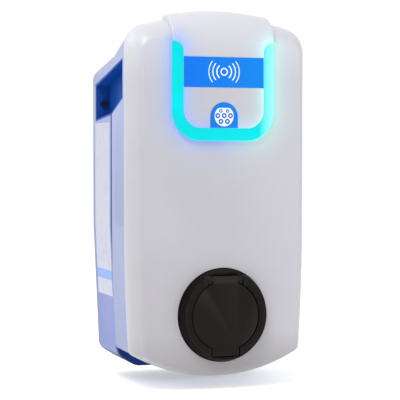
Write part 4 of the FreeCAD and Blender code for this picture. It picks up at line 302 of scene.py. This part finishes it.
def label_film():
    """Pale label: thin ruled frames, a few faint grey marks for small print, one blue bar."""
    p = Paint("label_print", 0.4)
    _, y, z = p.axes()
    rows = p.math("FRACT", p.math("MULTIPLY", z, 1 / FRAME_PITCH))
    rule = p.math("LESS_THAN", rows, FRAME_LINE)
    middle_rule = p.math("LESS_THAN", p.math("ABSOLUTE", p.math("ADD", y, LABEL_MIDDLE)),
                         LABEL_LINE)
    marks = p.noise(1.0, 2.0, p.stretched(1.0, 170.0, 75.0))
    cluster = p.noise(1.0, 1.0, p.stretched(1.0, 30.0, 22.0))
    ink = p.math("MULTIPLY", p.math("GREATER_THAN", marks, 0.58),
                 p.math("GREATER_THAN", cluster, 0.50))
    inside = p.math("MULTIPLY", p.math("GREATER_THAN", y, LABEL_PRINT[0]),
                    p.math("LESS_THAN", y, LABEL_PRINT[1]))
    ink = p.math("MULTIPLY", ink, inside)
    upright = p.math("MULTIPLY", middle_rule, p.math("GREATER_THAN", z, -0.02))
    frames = p.math("MAXIMUM", rule, upright)
    paper = p.blend(p.spread(p.noise(60.0), 0.3, 0.7), (0.405, 0.415, 0.50), (0.43, 0.44, 0.53))
    lined = p.blend(p.math("MULTIPLY", frames, 0.45), paper, (0.30, 0.38, 0.62))
    marked = p.blend(p.math("MULTIPLY", ink, 0.38), lined, (0.24, 0.27, 0.42))
    bar = p.math("MULTIPLY", p.math("GREATER_THAN", z, LABEL_BAR[0]),
                 p.math("LESS_THAN", z, LABEL_BAR[1]))
    p.into("Base Color", p.blend(bar, marked, (0.15, 0.27, 0.66)))
    p.into("Roughness", p.spread(p.noise(400.0), 0.3, 0.7, 0.34, 0.46))
    p.bumps((p.noise(220.0), 0.08, 0.0001))
    return p.mat


def metal(name, colour, roughness, lines=(30.0, 900.0, 900.0), stain=0.25):
    """Drawn or turned metal: fine lines along one way, dull patches, bright edges."""
    p = Paint(name, roughness, 1.0)
    grain = p.noise(1.0, 4.0, p.stretched(*lines))
    patch = p.noise(70.0, 4.0)
    dull = tuple(c * (1 - stain) for c in colour)
    base = p.blend(p.spread(patch, 0.35, 0.7), colour, dull)
    p.into("Base Color", p.blend(p.edges(), base, tuple(min(1.0, c * 1.2) for c in colour)))
    p.into("Roughness", p.math("ADD", p.spread(grain, 0.3, 0.7, roughness - 0.08, roughness + 0.06),
                               p.spread(patch, 0.3, 0.7, -0.03, 0.08)))
    p.bsdf.inputs["Anisotropic"].default_value = 0.35
    p.bumps((grain, 0.2, 0.00003))
    return p.mat


def zinc():
    """Zinc-plated sheet with its faint spangle."""
    p = Paint("zinc_sheet", 0.36, 1.0)
    spangle = p.cells(160.0, output="Color")
    grey = p.add("ShaderNodeRGBToBW")
    p.plug(grey.inputs[0], spangle)
    tone = p.blend(p.spread(grey.outputs[0], 0.2, 0.8), (0.46, 0.48, 0.50), (0.62, 0.63, 0.64))
    p.into("Base Color", p.blend(p.spread(p.noise(40.0), 0.45, 0.75), tone, (0.42, 0.42, 0.40)))
    p.into("Roughness", p.spread(grey.outputs[0], 0.2, 0.8, 0.30, 0.46))
    p.bumps((p.noise(900.0), 0.1, 0.00003))
    return p.mat


def circuit():
    """Solder mask over a net of tracks, with a scatter of tinned pads."""
    p = Paint("circuit_green", 0.35)
    x, _, z = p.axes()
    warp = p.noise(35.0, 0.0)
    track = p.math("ABSOLUTE", p.math("SUBTRACT", p.math("FRACT", p.math(
        "ADD", p.math("MULTIPLY", z, TRACKS), p.math("MULTIPLY", p.math("ROUND", p.math(
            "MULTIPLY", warp, TRACK_STEPS)), 0.5))), 0.5))
    lines = p.math("LESS_THAN", track, 0.13)
    cell = p.cells(230.0)
    pads = p.math("LESS_THAN", cell, 0.16)
    base = p.blend(p.math("MULTIPLY", lines, 0.7), (0.008, 0.10, 0.045), (0.02, 0.20, 0.09))
    p.into("Base Color", p.blend(pads, base, (0.62, 0.62, 0.58)))
    p.into("Metallic", pads)
    p.into("Roughness", p.spread(p.noise(300.0), 0.3, 0.7, 0.28, 0.42))
    p.bumps((lines, 0.3, 0.00004), (pads, 0.4, 0.0001))
    return p.mat


def wire(name, colour):
    """Insulated wire: drawn lengthwise, slightly waxy."""
    p = Paint(name, 0.42)
    run = p.noise(1.0, 2.0, p.stretched(900.0, 900.0, 60.0))
    p.into("Base Color", p.blend(p.spread(run, 0.3, 0.7), tuple(c * 0.8 for c in colour), colour))
    p.into("Roughness", p.spread(run, 0.3, 0.7, 0.36, 0.5))
    p.bumps((run, 0.15, 0.00005))
    return p.mat


def rubber():
    """Soft black seal rubber, matt and slightly uneven."""
    p = Paint("seal_rubber", 0.7)
    fine = p.noise(1100.0, 3.0)
    p.into("Base Color", p.blend(p.spread(p.noise(60.0), 0.3, 0.7), (0.012, 0.012, 0.012),
                                 (0.030, 0.029, 0.028)))
    p.into("Roughness", p.spread(fine, 0.3, 0.7, 0.62, 0.8))
    p.bumps((fine, 0.3, 0.00005))
    return p.mat


def lamp():
    """A lit lamp behind the guide, uneven from cell to cell."""
    p = Paint("lamp_lit", 0.3)
    p.into("Base Color", p.blend(p.spread(p.noise(800.0), 0.3, 0.7), (0.8, 0.9, 0.85),
                                 (0.9, 0.95, 0.8)))
    p.bsdf.inputs["Emission Color"].default_value = (0.35, 1.0, 0.95, 1.0)
    p.into("Emission Strength", p.spread(p.cells(600.0), 0.0, 0.8, 2.4, 1.2))
    p.bumps((p.noise(900.0), 0.1, 0.00004))
    return p.mat


MATERIALS = {
    "cover_plastic": shell(),
    "housing_plastic": housing(),
    # painted shade: the ring is painted darker towards the bottom
    "ring_plastic": moulded("ring_lilac", (0.27, 0.32, 0.50), 0.46, 1300.0, 0.00005,
                            low_shade_colour=(0.175, 0.205, 0.34)).mat,
    # painted shade: the trim is painted darker towards the bottom
    "blue_plastic": moulded("trim_blue", (0.0, 0.055, 0.30), 0.42, 1200.0, 0.00005, shine=0.1,
                            low_shade_colour=(0.0, 0.012, 0.09)).mat,
    "light_guide": lit_guide(),
    "lamp": lamp(),
    "blue_film": film("film_blue", (0.0, 0.125, 0.61), (0.0, 0.18, 0.60)),
    "label_film": label_film(),
    "socket_plastic": moulded("drum_black", (0.0036, 0.0030, 0.0021), 0.5, 1100.0, 0.00007, 0.10,
                              shine=0.06).mat,
    "lid_plastic": moulded("lid_black", (0.0066, 0.0055, 0.0038), 0.44, 1400.0, 0.00005, 0.10,
                           shine=0.11).mat,
    "contact_silver": metal("contact_silver", (0.86, 0.85, 0.82), 0.2),
    "black_rubber": rubber(),
    "black_steel": metal("black_oxide", (0.05, 0.052, 0.058), 0.38),
    "steel_screw": metal("screw_steel", (0.62, 0.62, 0.64), 0.3, (700.0, 60.0, 700.0)),
    "steel_pin": metal("ground_steel", (0.66, 0.66, 0.68), 0.22, (30.0, 900.0, 900.0)),
    "spring_steel": metal("spring_wire", (0.52, 0.52, 0.54), 0.3),
    "zinc_steel": zinc(),
    "brass_post": metal("brass_turned", (0.70, 0.50, 0.20), 0.3, (600.0, 50.0, 600.0)),
    "circuit_board": circuit(),
    "component_black": moulded("component_black", (0.022, 0.022, 0.025), 0.4, 1800.0, 0.00004).mat,
    "device_grey": moulded("device_grey", (0.47, 0.48, 0.46), 0.5, 1500.0, 0.00004, 0.05).mat,
    "device_dark": moulded("device_dark", (0.035, 0.037, 0.04), 0.5, 1500.0, 0.00004, 0.05).mat,
    "lever_plastic": moulded("lever_black", (0.018, 0.018, 0.02), 0.34, 1700.0, 0.00003).mat,
    "button_plastic": moulded("button_amber", (0.72, 0.42, 0.03), 0.36, 1700.0, 0.00003).mat,
    "terminal_plastic": moulded("terminal_grey", (0.10, 0.13, 0.15), 0.5, 1500.0, 0.00004).mat,
    "guard_plastic": moulded("guard_grey", (0.22, 0.25, 0.30), 0.55, 1200.0, 0.00006).mat,
    "gland_plastic": moulded("gland_nylon", (0.030, 0.031, 0.034), 0.5, 1200.0, 0.00006).mat,
    "wire_black": wire("wire_black", (0.018, 0.018, 0.02)),
    "wire_brown": wire("wire_brown", (0.14, 0.055, 0.02)),
}
white_ink = film("ink_white", (0.66, 0.72, 0.86), (0.66, 0.74, 0.84))
deep_ink = film("ink_deep", (0.0, 0.07, 0.50), (0.0, 0.09, 0.48))

SLOTS = {row["node"]: row["material_slot"] for row in frame["record"]["subparts"]}
for name, obj in nodes.items():
    obj.data.materials.clear()
    obj.data.materials.append(MATERIALS[SLOTS[name]])


# ---------------------------------------------------------------- pieces
def piece(name, mesh, body, material):
    """A visible piece that moves with a body."""
    obj = bpy.data.objects.new(name, mesh)
    bpy.context.scene.collection.objects.link(obj)
    mesh.materials.append(material)
    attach(obj, body)


def raised(outlines, front, thick):
    """A mesh of flat closed outlines in (x, z), raised towards the front by thick."""
    bm = bmesh.new()
    for outline in outlines:
        near = [bm.verts.new((x, -(front + thick), z)) for x, z in outline]
        far = [bm.verts.new((x, -front, z)) for x, z in outline]
        bm.faces.new(near)
        bm.faces.new(far[::-1])
        for i in range(len(outline)):
            j = (i + 1) % len(outline)
            bm.faces.new((near[j], near[i], far[i], far[j]))
    bmesh.ops.recalc_face_normals(bm, faces=bm.faces)
    mesh = bpy.data.meshes.new("raised")
    bm.to_mesh(mesh)
    bm.free()
    return mesh


def arc_band(cx, cz, radius, width, start, end, steps=28):
    """The outline of a curved stroke with rounded ends, angles in degrees."""
    a, b = math.radians(start), math.radians(end)

    def stroke(reach, order):
        turns = [a + (b - a) * i / steps for i in order]
        return [(cx + reach * math.cos(t), cz + reach * math.sin(t)) for t in turns]

    ends = []
    for at, turn in ((b, 1), (a, -1)):
        mx, mz = cx + radius * math.cos(at), cz + radius * math.sin(at)
        begin = at if turn == 1 else at + math.pi
        ends.append([(mx + width / 2 * math.cos(begin + math.pi * i / 8),
                      mz + width / 2 * math.sin(begin + math.pi * i / 8)) for i in range(1, 8)])
    outer = stroke(radius + width / 2, range(steps + 1))
    inner = stroke(radius - width / 2, range(steps, -1, -1))
    return outer + ends[0] + inner + ends[1]


def ring_sectors(cx, cz, radius, width, parts=2, steps=40):
    """A full ring as closed strokes that meet end to end."""
    outlines = []
    for part in range(parts):
        a, b = 2 * math.pi * part / parts, 2 * math.pi * (part + 1) / parts
        count = steps // parts
        out = [(cx + (radius + width / 2) * math.cos(a + (b - a) * i / count),
                cz + (radius + width / 2) * math.sin(a + (b - a) * i / count))
               for i in range(count + 1)]
        back = [(cx + (radius - width / 2) * math.cos(b - (b - a) * i / count),
                 cz + (radius - width / 2) * math.sin(b - (b - a) * i / count))
                for i in range(count + 1)]
        outlines.append(out + back)
    return outlines


def disc(cx, cz, radius, flat=None, steps=48):
    """A disc, cut straight across at flat above its centre."""
    points = []
    for i in range(steps):
        t = 2 * math.pi * i / steps
        x, z = radius * math.cos(t), radius * math.sin(t)
        if flat is not None and z > flat:
            z = flat
        points.append((cx + x, cz + z))
    return points


# contactless waves on the reader band
band_low, band_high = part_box("reader_band")
band_front = -band_low.y
band_mid = ((band_low.x + band_high.x) / 2, (band_low.z + band_high.z) / 2 + 0.0006)
waves = ring_sectors(*band_mid, 0.0040, 0.0014)
for radius, width, spread in ((0.0092, 0.0015, 48), (0.0143, 0.0013, 42), (0.0192, 0.0011, 39)):
    waves.append(arc_band(*band_mid, radius, width, -spread, spread))
    waves.append(arc_band(*band_mid, radius, width, 180 - spread, 180 + spread))
piece("wave_symbol", raised(waves, band_front + INK_GAP, 0.00006), "cover", white_ink)

# plug face on the badge: a pale disc with a flat top and seven contacts as blue rings
badge_low, badge_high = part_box("plug_badge")
badge_front = -badge_low.y
plug_x, plug_z, plug_r = 0.0, badge_high.z - 0.0166, 0.0120
piece("plug_face", raised([disc(plug_x, plug_z, plug_r, 0.0098)], badge_front + INK_GAP, 0.00005),
      "cover", white_ink)
contacts = [(-0.0041, 0.0062, 0.0022), (0.0041, 0.0062, 0.0022), (-0.0080, 0.0006, 0.0031),
            (0.0, 0.0006, 0.0031), (0.0080, 0.0006, 0.0031), (-0.0041, -0.0062, 0.0031),
            (0.0041, -0.0062, 0.0031)]
piece("plug_pins", raised([disc(plug_x + px, plug_z + pz, pr, steps=28)
                           for px, pz, pr in contacts], badge_front + 0.00008, 0.00005),
      "cover", deep_ink)
piece("plug_pin_cores", raised([disc(plug_x + px, plug_z + pz, pr * 0.42, steps=18)
                                for px, pz, pr in contacts], badge_front + 0.00014, 0.00004),
      "cover", white_ink)


# ---------------------------------------------------------------- stage, light and camera
def stage_floor():
    """A wide pale floor just under the object."""
    lo, _ = cad_box
    mesh = bpy.data.meshes.new("floor")
    reach, z = 12.0, lo.z - 0.0015
    mesh.from_pydata([(-reach, -reach, z), (reach, -reach, z), (reach, reach, z),
                      (-reach, reach, z)], [], [(0, 1, 2, 3)])
    floor = bpy.data.objects.new("floor", mesh)
    bpy.context.scene.collection.objects.link(floor)
    p = Paint("floor_pale", 0.8)
    p.into("Base Color", p.blend(p.spread(p.noise(2.0), 0.3, 0.7), (0.88, 0.88, 0.88),
                                 (0.90, 0.90, 0.90)))
    p.bsdf.inputs["Emission Color"].default_value = (1.0, 1.0, 1.0, 1.0)
    p.bsdf.inputs["Emission Strength"].default_value = 0.42
    mesh.materials.append(p.mat)


def area_light(name, place, target, size, power):
    """A white square light aimed at the target."""
    light = bpy.data.lights.new(name, "AREA")
    light.shape, light.size, light.energy = "SQUARE", size, power
    obj = bpy.data.objects.new(name, light)
    bpy.context.scene.collection.objects.link(obj)
    obj.location = place
    obj.rotation_euler = (Vector(target) - Vector(place)).to_track_quat("-Z", "Y").to_euler()


stage_floor()
scene = bpy.context.scene
# brighter behind the object than behind the camera
BACK_WAY, FRONT_WAY = 0.45, -0.3
BACK_LEVEL, FRONT_LEVEL = 1.05, 0.62
scene.view_settings.view_transform = "Standard"
world = bpy.data.worlds.new("studio")
world.use_nodes = True
tree = world.node_tree
direction = tree.nodes.new("ShaderNodeTexCoord").outputs["Generated"]
split = tree.nodes.new("ShaderNodeSeparateXYZ")
tree.links.new(direction, split.inputs[0])
level = tree.nodes.new("ShaderNodeMapRange")
tree.links.new(split.outputs[1], level.inputs[0])
for number, value in zip((1, 2, 3, 4), (FRONT_WAY, BACK_WAY, FRONT_LEVEL, BACK_LEVEL)):
    level.inputs[number].default_value = value
tree.links.new(level.outputs[0], tree.nodes["Background"].inputs[1])
tree.nodes["Background"].inputs[0].default_value = (1.0, 1.0, 1.0, 1.0)
scene.world = world
middle = (0.0, -0.1, 0.0)
area_light("key", (-0.7, -0.95, 1.35), (0.0, -0.15, 0.16), 0.7, 17.0)
area_light("fill", (1.5, -1.2, 0.6), middle, 1.2, 4.0)
area_light("rim", (-1.4, 0.6, 1.0), middle, 1.0, 5.0)

camera = bpy.data.objects.new("camera", bpy.data.cameras.new("camera"))
scene.collection.objects.link(camera)
camera.data.lens, camera.data.sensor_width = 126.0, 36.0
camera.data.clip_end = 60.0
forward = Vector((0.3304, 0.9433, -0.0314)).normalized()
right = forward.cross(Vector((0, 0, 1))).normalized()
up = right.cross(forward)
turn = Matrix((right, up, -forward)).transposed().to_4x4()
camera.matrix_world = Matrix.Translation((-0.577, -1.751, 0.0463)) @ turn
scene.camera = camera
